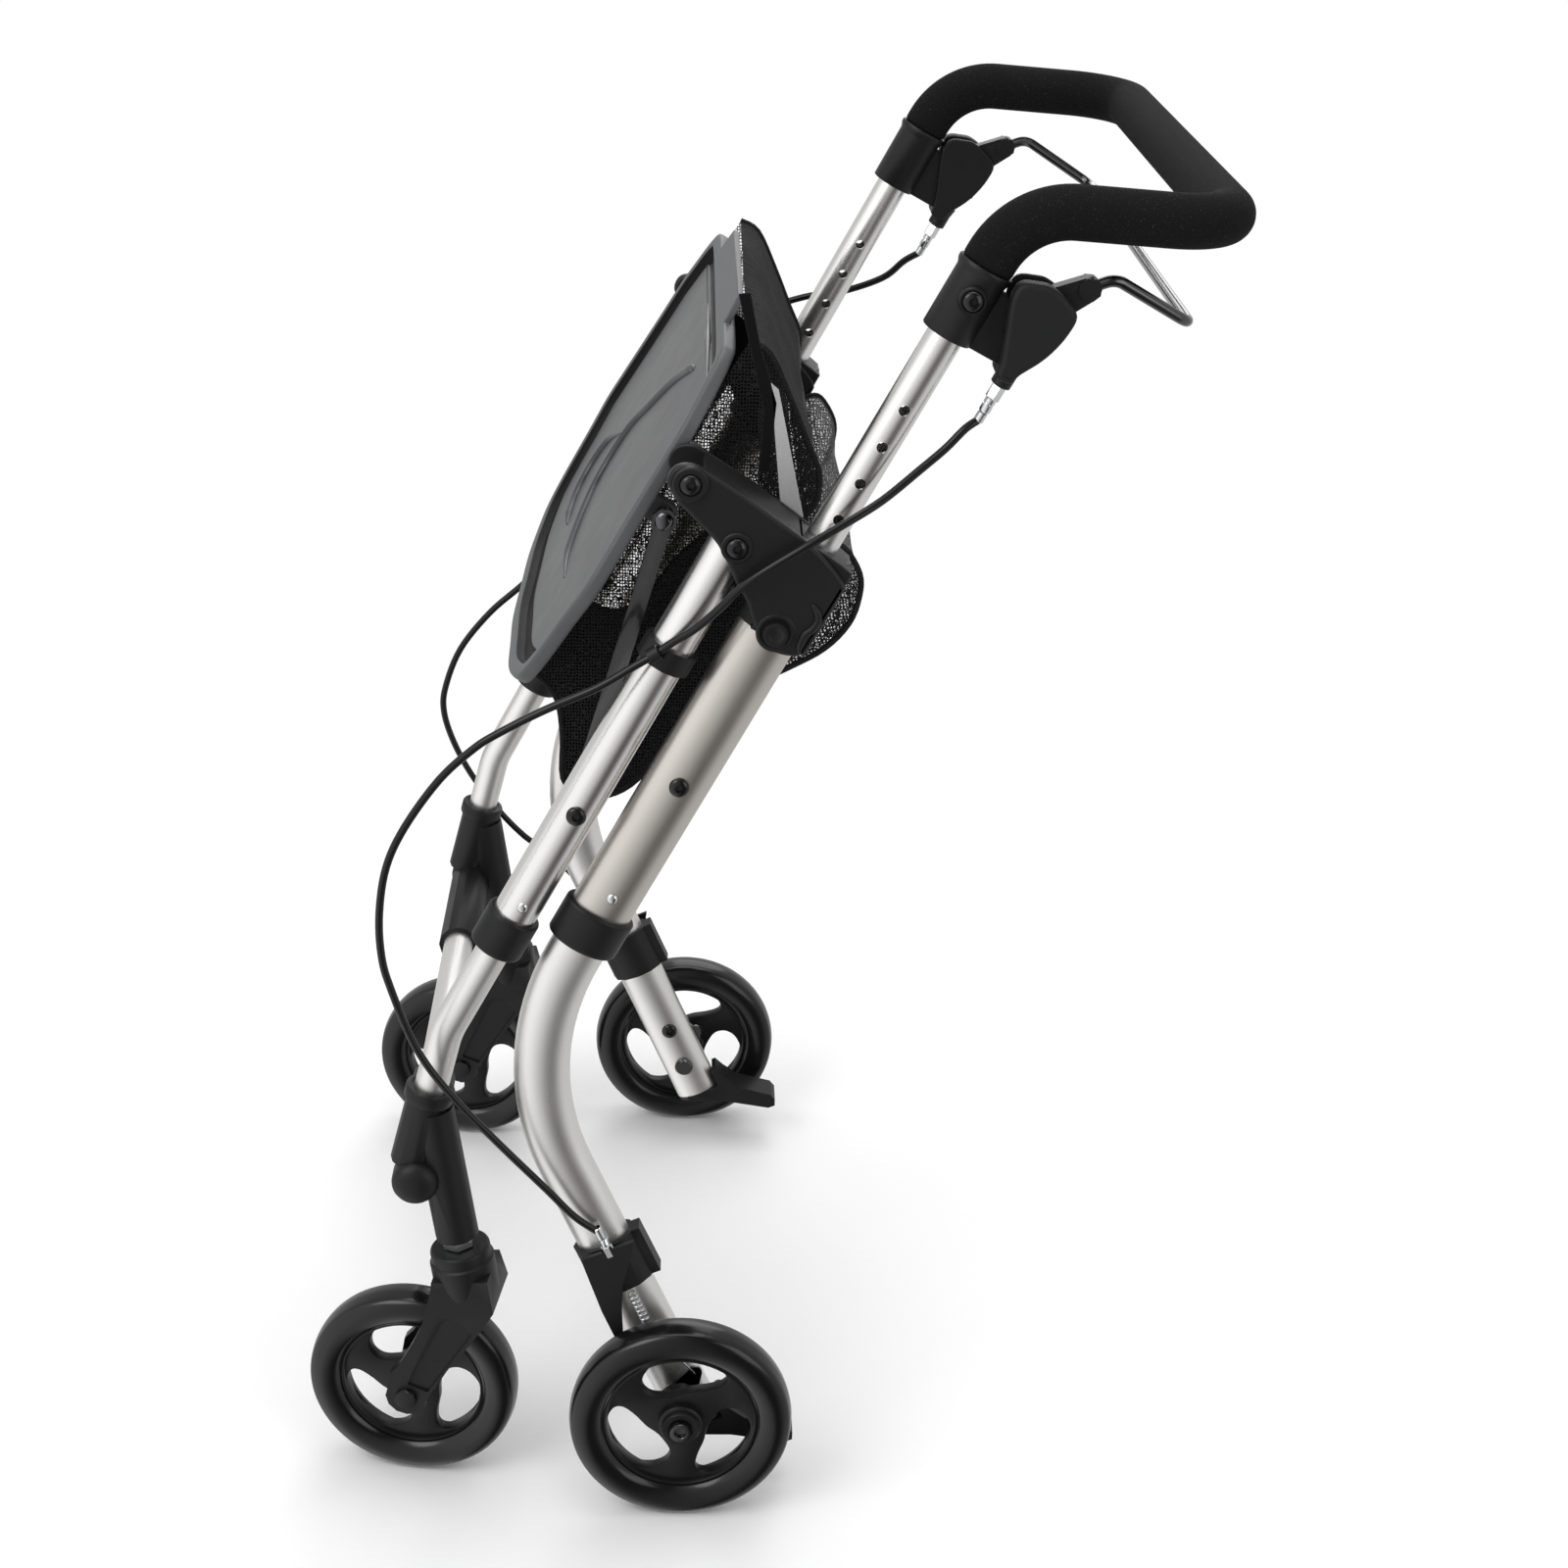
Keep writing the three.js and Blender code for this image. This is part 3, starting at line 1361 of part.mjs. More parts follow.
// Tray: rim, channel, sunk floor with a raised bead, hand tab, hollow back, hinge ears and link lugs.
function trayShape() {
  const face = -trayFace;
  const back = trayThickness - trayFace;
  const outline = trayOutline();
  const rim = panel(outline, face, back);
  const tabPoints = [
    [-trayTabHalf - trayTabChamfer, trayRise - overrun],
    [trayTabHalf + trayTabChamfer, trayRise - overrun],
    [trayTabHalf + trayTabChamfer, trayRise],
    [trayTabHalf, trayRise + trayTab],
    [-trayTabHalf, trayRise + trayTab],
    [-trayTabHalf - trayTabChamfer, trayRise],
  ];
  const tab = panel(tabPoints, face, face + trayThickness / 2);
  const inner = inset(outline, rimWidth);
  const floor = inset(outline, rimWidth + grooveWidth);
  const pocket = panel(inner, face - overrun, face + floorDrop);
  const channel = cut(
    panel(inner, face + floorDrop / 2, face + grooveDrop),
    panel(floor, face, back),
  );
  const hollow = panel(inset(floor, floorThickness), face + floorDrop + floorThickness, back + overrun);
  const ringOutline = (half, length) => oval(half, length, tubeSides).map(([x, z]) => [x, z + beadCentre]);
  const bead = panel(
    ringOutline(beadHalfWidth, beadHalfLength),
    face + floorDrop - beadDepth,
    face + floorDrop + beadDepth,
    ringOutline(beadHalfWidth - beadWidth, beadHalfLength - beadWidth),
  );
  const added = [];
  const bores = [];
  for (const side of [1, -1]) {
    const earFrom = Math.min(side * earX, side * (earX + earThickness));
    added.push(slab(lugOutline(0, 0, earRadius, back - gap), earFrom, earFrom + earThickness));
    const lugFrom = Math.min(side * linkLugX, side * (linkLugX + linkLugThickness));
    const lug = lugOutline(linkPivotBack, -linkPivotDown, linkEndRadius, back - gap);
    added.push(slab(lug, lugFrom, lugFrom + linkLugThickness));
    const boreFrom = Math.min(side * (earX - 2 * gap), side * trayHalfWidth);
    const boreLength = trayHalfWidth - earX + 2 * gap;
    bores.push(rodX(boreFor(pivotRadius), boreFrom, boreFrom + boreLength, 0, 0, boltSides));
  }
  const board = cut(join(rim, tab), pocket, channel, hollow);
  return cut(join(board, bead, ...added), ...bores);
}

// Link: a flat bar with an eye on the front tube and a screwed knob at the tray's lug.
function linkShape(reachBack, reachUp) {
  const from = linkX - sideX;
  const to = from + linkThickness;
  const bar = slab(strap([0, 0], linkWidth / 2, [reachBack, reachUp], linkWidth / 2 - gap), from, to);
  const eye = rodX(linkEndRadius, from, to, 0, 0, boltSides);
  const end = rodX(linkEndRadius, from, to, reachBack, reachUp, boltSides);
  const knob = rodX(linkKnobRadius, from - linkKnobLength, from + gap, reachBack, reachUp, boltSides);
  const head = dome(screwHeadRadius, screwHeadHeight, to, reachBack, reachUp);
  const bore = rodX(boreFor(pivotRadius), from - overrun, to + overrun, 0, 0, boltSides);
  return cut(join(bar, eye, end, knob, head), bore);
}

// Bag: a soft pouch behind the tray, creased round the bar between the brackets and open at the top.
function bagShape() {
  const front = trayThickness - trayFace + gap;
  const outline = bagShares.map(([back, up]) => [front + back * bagDepth, up * bagFall]);
  const mouth = bagMouthShares.map(([back, up]) => [front + back * bagDepth, up * bagFall]);
  const body = slab(outline.reverse(), -bagHalfWidth, bagHalfWidth);
  const half = bagHalfWidth - bagWall;
  return cut(body, slab(inset(outline, bagWall), -half, half), slab(mouth.reverse(), -half, half));
}

// Assembly.
const root = new THREE.Group();
const rollator = new THREE.Group();
root.add(rollator);

const trayPivot = onLine(trayPivotAlong, trayPivotAcross, 0);
const linkEndY = trayPivot.y + linkPivotBack * Math.cos(trayLean) - linkPivotDown * Math.sin(trayLean);
const linkEndZ = trayPivot.z - linkPivotBack * Math.sin(trayLean) - linkPivotDown * Math.cos(trayLean);
const linkFoot = onLine(linkPinAt, frontPivotAcross, 0);
const linkRunY = linkEndY - linkFoot.y;
const linkRunZ = linkEndZ - linkFoot.z;
const linkBack = linkRunY * Math.cos(frameLean) - linkRunZ * Math.sin(frameLean);
const linkUp = linkRunY * Math.sin(frameLean) + linkRunZ * Math.cos(frameLean);

for (const [name, side, casterTurn] of [["left", 1, casterTurnLeft], ["right", -1, casterTurnRight]]) {
  const half = new THREE.Group();
  half.scale.x = side;
  rollator.add(half);
  const line = group(half, sideX, lineY, lineZ, -frameLean);
  const leg = group(half, sideX, 0, wheelRadius, legLean);
  const front = group(line, 0, frontPivotAcross, frontPivotAlong);
  const link = group(front, 0, 0, linkPinAt - frontPivotAlong);
  const stem = group(half, sideX, stemY, stemZ, stemLean);
  const caster = new THREE.Group();
  caster.rotation.z = side * casterTurn;
  stem.add(caster);

  piece(line, `rear_tube_${name}`, rearTubeShape(), "rearTube");
  piece(half, `rear_leg_${name}`, rearLegShape(), "legPaint");
  const rearCollar = collarShape(
    oval(rearTubeWidth / 2 + gap + collarWall, rearTubeDepth / 2 + gap + collarWall, tubeSides),
    oval(rearTubeWidth / 2 + gap, rearTubeDepth / 2 + gap, tubeSides),
    oval(legHalfWidth + gap, legHalfDepth + gap, tubeSides),
    rearCollarTop,
    rearCollarBottom,
  );
  piece(line, `rear_collar_${name}`, rearCollar, "blackPlastic");
  piece(line, `main_bracket_${name}`, bracketShape(), "blackPlastic");
  const button = group(line, 0, 0, lockAt);
  piece(button, `height_button_${name}`, buttonShape(), "blackPlastic");
  piece(leg, `brake_clamp_${name}`, brakeClampShape(), "blackPlastic");
  piece(leg, `tip_pedal_${name}`, pedalShape(), "blackPlastic");
  piece(half, `rear_axle_${name}`, rearAxleShape(), "blackSteel");
  piece(leg, `brake_spring_${name}`, springShape(), "zinc");
  piece(leg, `brake_arm_${name}`, brakeArmShape(), "blackSteel");
  const lowBarrel = group(leg, lowerAdjusterX - sideX, springBack, stopTop + gap);
  const lowShape = adjusterShape(lowerAdjusterRadius, lowerAdjusterNeckRadius, lowerAdjusterLength, lowerAdjusterHexLength);
  piece(lowBarrel, `lower_adjuster_${name}`, lowShape, "zinc");
  piece(half, `brake_cable_${name}`, cableShape(cableRoutes[name]), "cable");

  const rearWheel = group(half, rearWheelX, 0, wheelRadius);
  piece(rearWheel, `rear_wheel_${name}`, wheelShape(wheelRadius, hubCapReach, drumReach, drumRadius), "wheel");

  piece(line, `handle_clamp_${name}`, handleClampShape(), "blackPlastic");
  piece(line, `brake_cover_${name}`, coverShape(), "blackPlastic");
  piece(line, `lever_root_${name}`, leverRootShape(), "blackPlastic");
  const highBarrel = group(line, 0, noseAcross, housingFoot - gap, Math.PI);
  const highShape = adjusterShape(adjusterRadius, adjusterNeckRadius, adjusterLength, adjusterHexLength);
  piece(highBarrel, `upper_adjuster_${name}`, highShape, "zinc");

  piece(front, `front_tube_${name}`, frontTubeShape(), "handleTube");
  piece(half, `front_leg_${name}`, frontLegShape(), "legPaint");
  const frontCollar = collarShape(
    oval(frontTubeRadius + gap + collarWall, frontTubeRadius + gap + collarWall, tubeSides),
    oval(frontTubeRadius + gap, frontTubeRadius + gap, tubeSides),
    oval(frontLegRadius + gap, frontLegRadius + gap, tubeSides),
    frontCollarTop - frontPivotAlong,
    frontCollarBottom - frontPivotAlong,
  );
  piece(front, `front_collar_${name}`, frontCollar, "blackPlastic");
  piece(half, `cable_clip_${name}`, clipShape(), "blackPlastic");
  piece(half, `caster_bracket_${name}`, casterBracketShape(), "blackPlastic");
  piece(stem, `caster_stem_${name}`, stemShape(), "zinc");
  piece(link, `tray_link_${name}`, linkShape(linkBack, linkUp), "blackSteel");

  piece(caster, `caster_fork_${name}`, forkShape(), "blackPlastic");
  const frontWheel = group(caster, 0, -casterTrail, -casterDrop);
  const reach = forkCheekInner - gap;
  piece(frontWheel, `front_wheel_${name}`, wheelShape(casterWheelRadius, reach, reach, hubRadius), "wheel");
}

const middle = group(rollator, 0, lineY, lineZ, -frameLean);
const crossBar = slab(
  oval(crossBarDepth / 2, crossBarHeight / 2, tubeSides),
  gap - innerCheekX,
  innerCheekX - gap,
).translate(0, crossBarAcross, crossBarAlong);
piece(middle, "bracket_cross_bar", crossBar, "handleTube");
const crossTubeOuter = oval(crossTubeRadius, crossTubeRadius, tubeSides);
const crossTubeInner = oval(crossTubeRadius - crossTubeWall, crossTubeRadius - crossTubeWall, tubeSides);
const crossTube = slab(crossTubeOuter, -crossTubeHalf, crossTubeHalf, crossTubeInner);
piece(rollator, "front_cross_tube", crossTube.translate(0, socketY, socketZ), "legPaint");
piece(rollator, "handle_tube", handleTubeShape(), "handleTube");
piece(rollator, "grip_foam", foamShape(), "foam");
piece(rollator, "brake_bar", barShape(), "blackSteel");
const tray = group(rollator, 0, trayPivot.y, trayPivot.z, -trayLean);
piece(tray, "tray", trayShape(), "tray");
piece(tray, "bag", bagShape(), "cloth");

console.log("least gap between turns of the brake spring: " + springGap().toFixed(2) + " mm");

// The origin is under the middle of the rollator, on the floor.
rollator.updateMatrixWorld(true);
const bounds = new THREE.Box3().setFromObject(rollator, true);
const centre = bounds.getCenter(new THREE.Vector3());
rollator.position.set(-centre.x, -centre.y, -bounds.min.z);

export default root;
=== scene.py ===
# %% [markdown]
# # Indoor rollator
# A folding walking frame on four wheels, with a bent handle, a serving tray and a shopping bag.
# The rigid frame comes in as exact solids. Each cell below says what a piece is on the real
# object, then gives it its rounded edges, its finish or its cloth. Sizes are in millimetres,
# on the left half, and one function brings them to metres.

import json
import math

import bmesh
import bpy
from mathutils import Matrix, Vector


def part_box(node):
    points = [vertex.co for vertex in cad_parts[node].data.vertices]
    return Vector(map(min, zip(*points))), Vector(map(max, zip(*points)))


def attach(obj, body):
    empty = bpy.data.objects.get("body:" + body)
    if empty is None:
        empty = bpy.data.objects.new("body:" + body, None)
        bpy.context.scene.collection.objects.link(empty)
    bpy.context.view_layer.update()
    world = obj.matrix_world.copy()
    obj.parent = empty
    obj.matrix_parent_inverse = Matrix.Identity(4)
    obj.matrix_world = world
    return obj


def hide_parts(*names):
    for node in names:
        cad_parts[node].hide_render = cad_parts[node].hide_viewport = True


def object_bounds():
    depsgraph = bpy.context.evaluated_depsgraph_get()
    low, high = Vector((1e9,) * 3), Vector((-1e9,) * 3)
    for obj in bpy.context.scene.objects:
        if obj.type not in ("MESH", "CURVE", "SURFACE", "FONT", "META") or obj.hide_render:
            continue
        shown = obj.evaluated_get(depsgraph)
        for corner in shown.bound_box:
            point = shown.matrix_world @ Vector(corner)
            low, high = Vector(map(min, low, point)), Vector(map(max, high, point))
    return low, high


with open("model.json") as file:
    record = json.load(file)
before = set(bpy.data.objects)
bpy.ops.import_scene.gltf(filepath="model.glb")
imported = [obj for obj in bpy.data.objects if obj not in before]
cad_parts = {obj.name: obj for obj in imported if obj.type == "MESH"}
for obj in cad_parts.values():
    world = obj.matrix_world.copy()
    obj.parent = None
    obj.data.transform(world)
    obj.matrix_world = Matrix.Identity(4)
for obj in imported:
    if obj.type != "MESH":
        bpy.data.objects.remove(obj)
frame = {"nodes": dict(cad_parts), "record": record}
cad_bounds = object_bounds()

# %% [markdown]
# ## Places and lines
# The tubes of each side lie in one leaning plane. A point is easy to give as a distance along
# the rear tube and a distance across it, so the same two numbers place every bracket and screw.
# The right side is the left one in a mirror.

# %% Places
MM = 0.001
SHIFT = -28.8338  # brings the middle of the folded frame to the origin
SIDES = {"left": 1, "right": -1}
SIDE_X = 220.6
LEAN = math.radians(27.28)
LEG_LEAN = math.radians(24.5)
TRAY_LEAN = math.radians(30.05)
LINE_Y, LINE_Z = 68.9, 688.6
TRAY_Y, TRAY_Z = -10.26, 728.19
WELD = 1e-6
WHEEL_RADIUS = 75
TURN = 2 * math.pi
ACROSS = Vector((0, math.cos(LEAN), -math.sin(LEAN)))
node_body = {n: b for b, ns in frame["record"]["behaviour"]["bodies"].items() for n in ns}


def on_line(along, across, x=SIDE_X):
    y = LINE_Y + along * math.sin(LEAN) + across * math.cos(LEAN)
    z = LINE_Z + along * math.cos(LEAN) - across * math.sin(LEAN)
    return Vector((x, y, z))


def on_leg(up, back, x=SIDE_X):
    y = -up * math.sin(LEG_LEAN) + back * math.cos(LEG_LEAN)
    z = WHEEL_RADIUS + up * math.cos(LEG_LEAN) + back * math.sin(LEG_LEAN)
    return Vector((x, y, z))


def on_tray(back, up, x):
    y = TRAY_Y + back * math.cos(TRAY_LEAN) + up * math.sin(TRAY_LEAN)
    z = TRAY_Z - back * math.sin(TRAY_LEAN) + up * math.cos(TRAY_LEAN)
    return Vector((x, y, z))


def smooth_line(points, steps, closed=False):
    """A soft curve through the points, with that many steps from one to the next."""
    count = len(points)
    spans = count if closed else count - 1
    line = []
    for i in range(spans):
        if closed:
            a, b, c, d = (points[(i + k) % count] for k in (-1, 0, 1, 2))
        else:
            a, b, c, d = (points[min(max(i + k, 0), count - 1)] for k in (-1, 0, 1, 2))
        for step in range(steps):
            t = step / steps
            line.append(
                b + 0.5 * t * ((c - a) + t * (2 * a - 5 * b + 4 * c - d + t * (3 * (b - c) + d - a)))
            )
    if not closed:
        line.append(points[-1].copy())
    return line


def bent(corners, radii, steps=12):
    """A line with straight runs and a true arc at each corner."""
    line = [corners[0].copy()]
    for before, here, after, radius in zip(corners, corners[1:], corners[2:], radii):
        back, on = (before - here).normalized(), (after - here).normalized()
        half = back.angle(on) / 2
        middle = here + (back + on).normalized() * (radius / math.sin(half))
        start = here + back * (radius / math.tan(half)) - middle
        end = here + on * (radius / math.tan(half)) - middle
        turn = start.angle(end)
        for step in range(steps + 1):
            share = step / steps
            a = math.sin((1 - share) * turn) / math.sin(turn)
            b = math.sin(share * turn) / math.sin(turn)
            line.append(middle + start * a + end * b)
    line.append(corners[-1].copy())
    return line


def flat(points):
    return [Vector(p) for p in points]


# %% [markdown]
# ## Building blocks for the shapes
# Almost everything on a rollator is drawn tube, turned metal or a moulded plate. Three builders
# cover them: a section carried along a line, a profile turned about an axis, and a plate whose
# rim is rounded ring by ring. Rings that share a surface keep the light clean on the flat faces.


# %% Shape builders
def oval(half_a, half_b, sides):
    return [
        (half_a * math.cos(i * TURN / sides), half_b * math.sin(i * TURN / sides))
        for i in range(sides)
    ]


def skin(bm, rings, closed=True):
    """Faces between one ring of corners and the next, with the run of the surface as its map."""
    layer = bm.loops.layers.uv.get("run") or bm.loops.layers.uv.new("run")
    length = 0.0
    for a, b in zip(rings, rings[1:]):
        step = (b[0].co - a[0].co).length
        around = 0.0
        count = len(a)
        for i in range(count if closed else count - 1):
            k = (i + 1) % count
            width = (a[k].co - a[i].co).length
            face = bm.faces.new((a[i], a[k], b[k], b[i]))
            far, on = around + width, length + step
            spots = ((around, length), (far, length), (far, on), (around, on))
            for loop, spot in zip(face.loops, spots):
                loop[layer].uv = (spot[0] * MM, spot[1] * MM)
            around = far
        length = on


def carried(points, hint):
    """The two directions that span the section at each point of a line, without twist."""
    side = hint
    spans = []
    for i, here in enumerate(points):
        run = (points[min(i + 1, len(points) - 1)] - points[max(i - 1, 0)]).normalized()
        side = (side - run * side.dot(run)).normalized()
        spans.append((side, run.cross(side)))
    return spans


def tube(bm, points, section, wall=0.0, swell=None, hint=Vector((1, 0, 0))):
    """A section carried along a line: a rod, or with a wall a tube with two open ends."""
    swell = swell or [1.0] * len(points)
    rings = []
    inner = []
    half = max(abs(a) for a, _ in section)
    for here, (side, up), grow in zip(points, carried(points, hint), swell):
        rings.append([bm.verts.new(here + side * a * grow + up * b * grow) for a, b in section])
        if wall:
            less = grow * (half - wall) / half
            inner.append([bm.verts.new(here + side * a * less + up * b * less) for a, b in section])
    if wall:
        skin(bm, rings + inner[::-1] + [rings[0]])
    else:
        skin(bm, rings)
        bm.faces.new(rings[0])
        bm.faces.new(rings[-1])


def lathe(bm, profile, steps, origin, axis, hint=Vector((0, 0, 1))):
    """A profile of (radius, height) turned about an axis. A radius of zero closes it."""
    axis = axis.normalized()
    side = (hint - axis * hint.dot(axis)).normalized()
    up = axis.cross(side)
    rings = []
    for radius, height in profile:
        if radius == 0:
            rings.append([bm.verts.new(origin + axis * height)])
            continue
        middle = origin + axis * height
        spots = [middle + side * radius * a + up * radius * b for a, b in oval(1, 1, steps)]
        rings.append([bm.verts.new(spot) for spot in spots])
    for a, b in zip(rings, rings[1:]):
        if len(a) == 1 or len(b) == 1:
            tip, rim = (a[0], b) if len(a) == 1 else (b[0], a)
            for i, v in enumerate(rim):
                bm.faces.new((tip, v, rim[(i + 1) % len(rim)]))
        else:
            skin(bm, [a, b])


def drawn_in(outline, distance):
    """A closed outline drawn in by a distance."""
    count = len(outline)
    area = sum(
        outline[i - 1].x * outline[i].y - outline[i].x * outline[i - 1].y for i in range(count)
    )
    sign = 1 if area > 0 else -1
    made = []
    for i, here in enumerate(outline):
        along = (outline[(i + 1) % count] - outline[i - 1]).normalized()
        made.append(here + Vector((-along.y, along.x)) * distance * sign)
    return made


def plate(bm, outline, low, high, rounding, place):
    """A plate between two heights, its rim rounded on both faces."""
    turns = [0, 22.5, 45, 67.5, 90]
    arc = [
        (rounding * (1 - math.cos(math.radians(a))), rounding * (1 - math.sin(math.radians(a))))
        for a in turns
    ]
    steps = [(rounding * 1.25, low)]
    steps += [(s, low + d) for d, s in arc]
    steps += [(s, high - d) for d, s in reversed(arc)]
    steps += [(rounding * 1.25, high)]
    rings = []
    for inward, height in steps:
        drawn = drawn_in(outline, inward)
        rings.append([bm.verts.new(place(p.x, p.y, height)) for p in drawn])
    skin(bm, rings)
    bm.faces.new(rings[0])
    bm.faces.new(rings[-1])


SCREW = [(1, -0.3), (1, 0.25), (0.93, 0.52), (0.76, 0.78), (0.5, 0.94), (0.4, 0.97)]
SOCKET = [(0.36, 0.85), (0.33, 0.3), (0, 0.26)]
OUTWARD = Vector((1, 0, 0))
UPWARD = Vector((0, 0, 1))


def screw(bm, place, radius=6.3, height=3.0, axis=OUTWARD):
    """A domed screw head with a round socket."""
    profile = [(radius * r, height * h) for r, h in SCREW + SOCKET]
    lathe(bm, profile, 28, place, axis)


def settle(bm, name, material, body, nodes, angle):
    """Makes an object of a shape in metres, gives it its finish and lets it ride its body."""
    bmesh.ops.recalc_face_normals(bm, faces=bm.faces)
    mesh = bpy.data.meshes.new(name)
    bm.to_mesh(mesh)
    bm.free()
    mesh.shade_smooth()
    mesh.set_sharp_from_angle(angle=math.radians(angle))
    mesh.materials.append(material)
    made = bpy.data.objects.new(name, mesh)
    bpy.context.scene.collection.objects.link(made)
    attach(made, body)
    if nodes:
        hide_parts(*nodes)
    return made


def show(bm, name, material, body, side=1, nodes=(), angle=40, moved=None):
    """Brings a shape in millimetres to metres and to its side, and settles it there."""
    home = Matrix.Translation((0, SHIFT * MM, 0)) @ Matrix.Diagonal((side * MM, MM, MM, 1))
    bmesh.ops.transform(bm, matrix=home @ (moved or Matrix.Identity(4)), verts=bm.verts)
    bmesh.ops.remove_doubles(bm, verts=bm.verts, dist=WELD)
    return settle(bm, name, material, body, nodes, angle)


def stand(bm, node, material, body, side, angle=40, moved=None):
    """Lets a shape stand for the exact solid of one node."""
    return show(bm, node + "_fine", material, body, side, [node], angle, moved)


def drawn(node, points, section, wall, material, body, side, slot, **more):
    """A tube or a rod that stands for one node."""
    bm = bmesh.new()
    tube(bm, points, section, wall, **more)
    return stand(bm, node, material, body, side)


def turned(name, profile, steps, place, material, body, side, angle=40):
    """A small turned piece of its own, its axis across the frame."""
    bm = bmesh.new()
    lathe(bm, profile, steps, place, OUTWARD)
    return show(bm, name, material, body, side, (), angle)


def soften(node, material, width=0.8, angle=50, trim=()):
    """A copy of an exact solid: planes trim it, its triangles merge, its edges are rounded."""
    bm = bmesh.new()
    bm.from_mesh(frame["nodes"][node].data)
    bmesh.ops.remove_doubles(bm, verts=bm.verts, dist=2e-6)
    for spot, away in trim:
        parts = bm.verts[:] + bm.edges[:] + bm.faces[:]
        cut = bmesh.ops.bisect_plane(
            bm, geom=parts, plane_co=spot, plane_no=away, clear_outer=True
        )
        rims = [e for e in cut["geom_cut"] if isinstance(e, bmesh.types.BMEdge)]
        bmesh.ops.triangle_fill(bm, edges=rims, use_beauty=True, use_dissolve=True)
    bmesh.ops.dissolve_limit(bm, angle_limit=math.radians(1.5), verts=bm.verts, edges=bm.edges)
    made = settle(bm, node + "_soft", material, node_body[node], [node], angle)
    bevel = made.modifiers.new("edges", "BEVEL")
    bevel.width = width * MM
    bevel.segments = 3
    bevel.limit_method = "ANGLE"
    bevel.angle_limit = math.radians(angle)
    bevel.harden_normals = True


# %% [markdown]
# ## Finishes
# The light on a surface comes from what happened to it last: drawing lines on anodised tube,
# spark-erosion grain on moulded plastic, cells in foam, a weave in cloth. Each finish below is
# worked out from the place on the surface, so that it stays sharp at any distance.


# %% Shader arithmetic
def sum_node(kind, swapped=False):
    """An operator that adds a Math node of that kind."""

    def apply(self, other):
        pair = (other, self) if swapped else (self, other)
        return self.graph.math(kind, *pair)

    return apply


class Value:
    """A number in a shader graph. Sums, differences and products of it add Math nodes."""

    def __init__(self, graph, socket):
        self.graph = graph
        self.socket = socket

    __add__, __radd__ = sum_node("ADD"), sum_node("ADD", True)
    __sub__, __rsub__ = sum_node("SUBTRACT"), sum_node("SUBTRACT", True)
    __mul__, __rmul__ = sum_node("MULTIPLY"), sum_node("MULTIPLY", True)


class Graph:
    """The nodes of one material, or of the world."""

    def __init__(self, name, owner=None):
        self.owner = owner or bpy.data.materials.new(name)
        self.owner.use_nodes = True
        self.tree = self.owner.node_tree
        self.tree.nodes.clear()

    def node(self, kind, settings=None, values=None, out=0):
        made = self.tree.nodes.new(kind)
        for key, value in (settings or {}).items():
            setattr(made, key, value)
        for key, value in (values or {}).items():
            if isinstance(value, Value):
                self.tree.links.new(value.socket, made.inputs[key])
            else:
                made.inputs[key].default_value = value
        return Value(self, made.outputs[out]) if len(made.outputs) else None

    def math(self, operation, *values):
        inputs = dict(enumerate(values))
        return self.node("ShaderNodeMath", {"operation": operation}, inputs)

    def place(self, stretch=(1, 1, 1), turn=(0, 0, 0)):
        here = self.node("ShaderNodeTexCoord", out="Object")
        return self.node("ShaderNodeMapping", None, {0: here, "Scale": stretch, "Rotation": turn})

    def run(self, stretch=(1, 1, 1)):
        here = self.node("ShaderNodeUVMap", {"uv_map": "run"})
        return self.node("ShaderNodeMapping", None, {0: here, "Scale": stretch})

    def noise(self, vector, scale, detail=2.0, rough=0.5):
        values = {"Vector": vector, "Scale": scale, "Detail": detail, "Roughness": rough}
        return self.node("ShaderNodeTexNoise", None, values)

    def spread(self, value, low, high, to_low=0.0, to_high=1.0):
        values = {0: value, 1: low, 2: high, 3: to_low, 4: to_high}
        return self.node("ShaderNodeMapRange", None, values)

    def mix(self, share, a, b):
        values = {0: share, 6: a, 7: b}
        return self.node("ShaderNodeMix", {"data_type": "RGBA"}, values, out=2)

    def bump(self, height, strength, depth):
        values = {"Height": height, "Strength": strength, "Distance": depth}
        return self.node("ShaderNodeBump", None, values)

    def surface(self, **values):
        named = {key.replace("_", " "): value for key, value in values.items()}
        shader = self.node("ShaderNodeBsdfPrincipled", None, named)
        self.node("ShaderNodeOutputMaterial", None, {"Surface": shader})
        return self.owner


def tone(level, tint=(1, 1, 1)):
    return tuple(level * t for t in tint) + (1.0,)


# %% [markdown]
# ### Metals
# The tubes are drawn aluminium. Drawing and brushing leave very fine lines along the tube, and
# the anodised skin is never quite even, so the gloss changes in long soft patches. The rear
# tubes are the same metal in a warmer satin, and the lower legs are a light satin.


# %% Metals
def drawn_metal(name, level, tint, rough, lines=0.10):
    g = Graph(name)
    streaks = g.noise(g.run((2600, 26, 1)), 1.0, 3.0)
    patches = g.noise(g.run((60, 14, 1)), 1.0, 2.0)
    grain = g.noise(g.place(), 2400.0, 2.0)
    gloss = rough + lines * (streaks - 0.5) + 0.10 * (patches - 0.5)
    shade = g.mix(streaks * 0.5 + patches * 0.5, tone(level * 0.93, tint), tone(level * 1.05, tint))
    height = streaks * 0.6 + grain * 0.4
    bump = g.bump(height, 0.08, 0.0001)
    return g.surface(Base_Color=shade, Metallic=1.0, Roughness=gloss, Normal=bump)


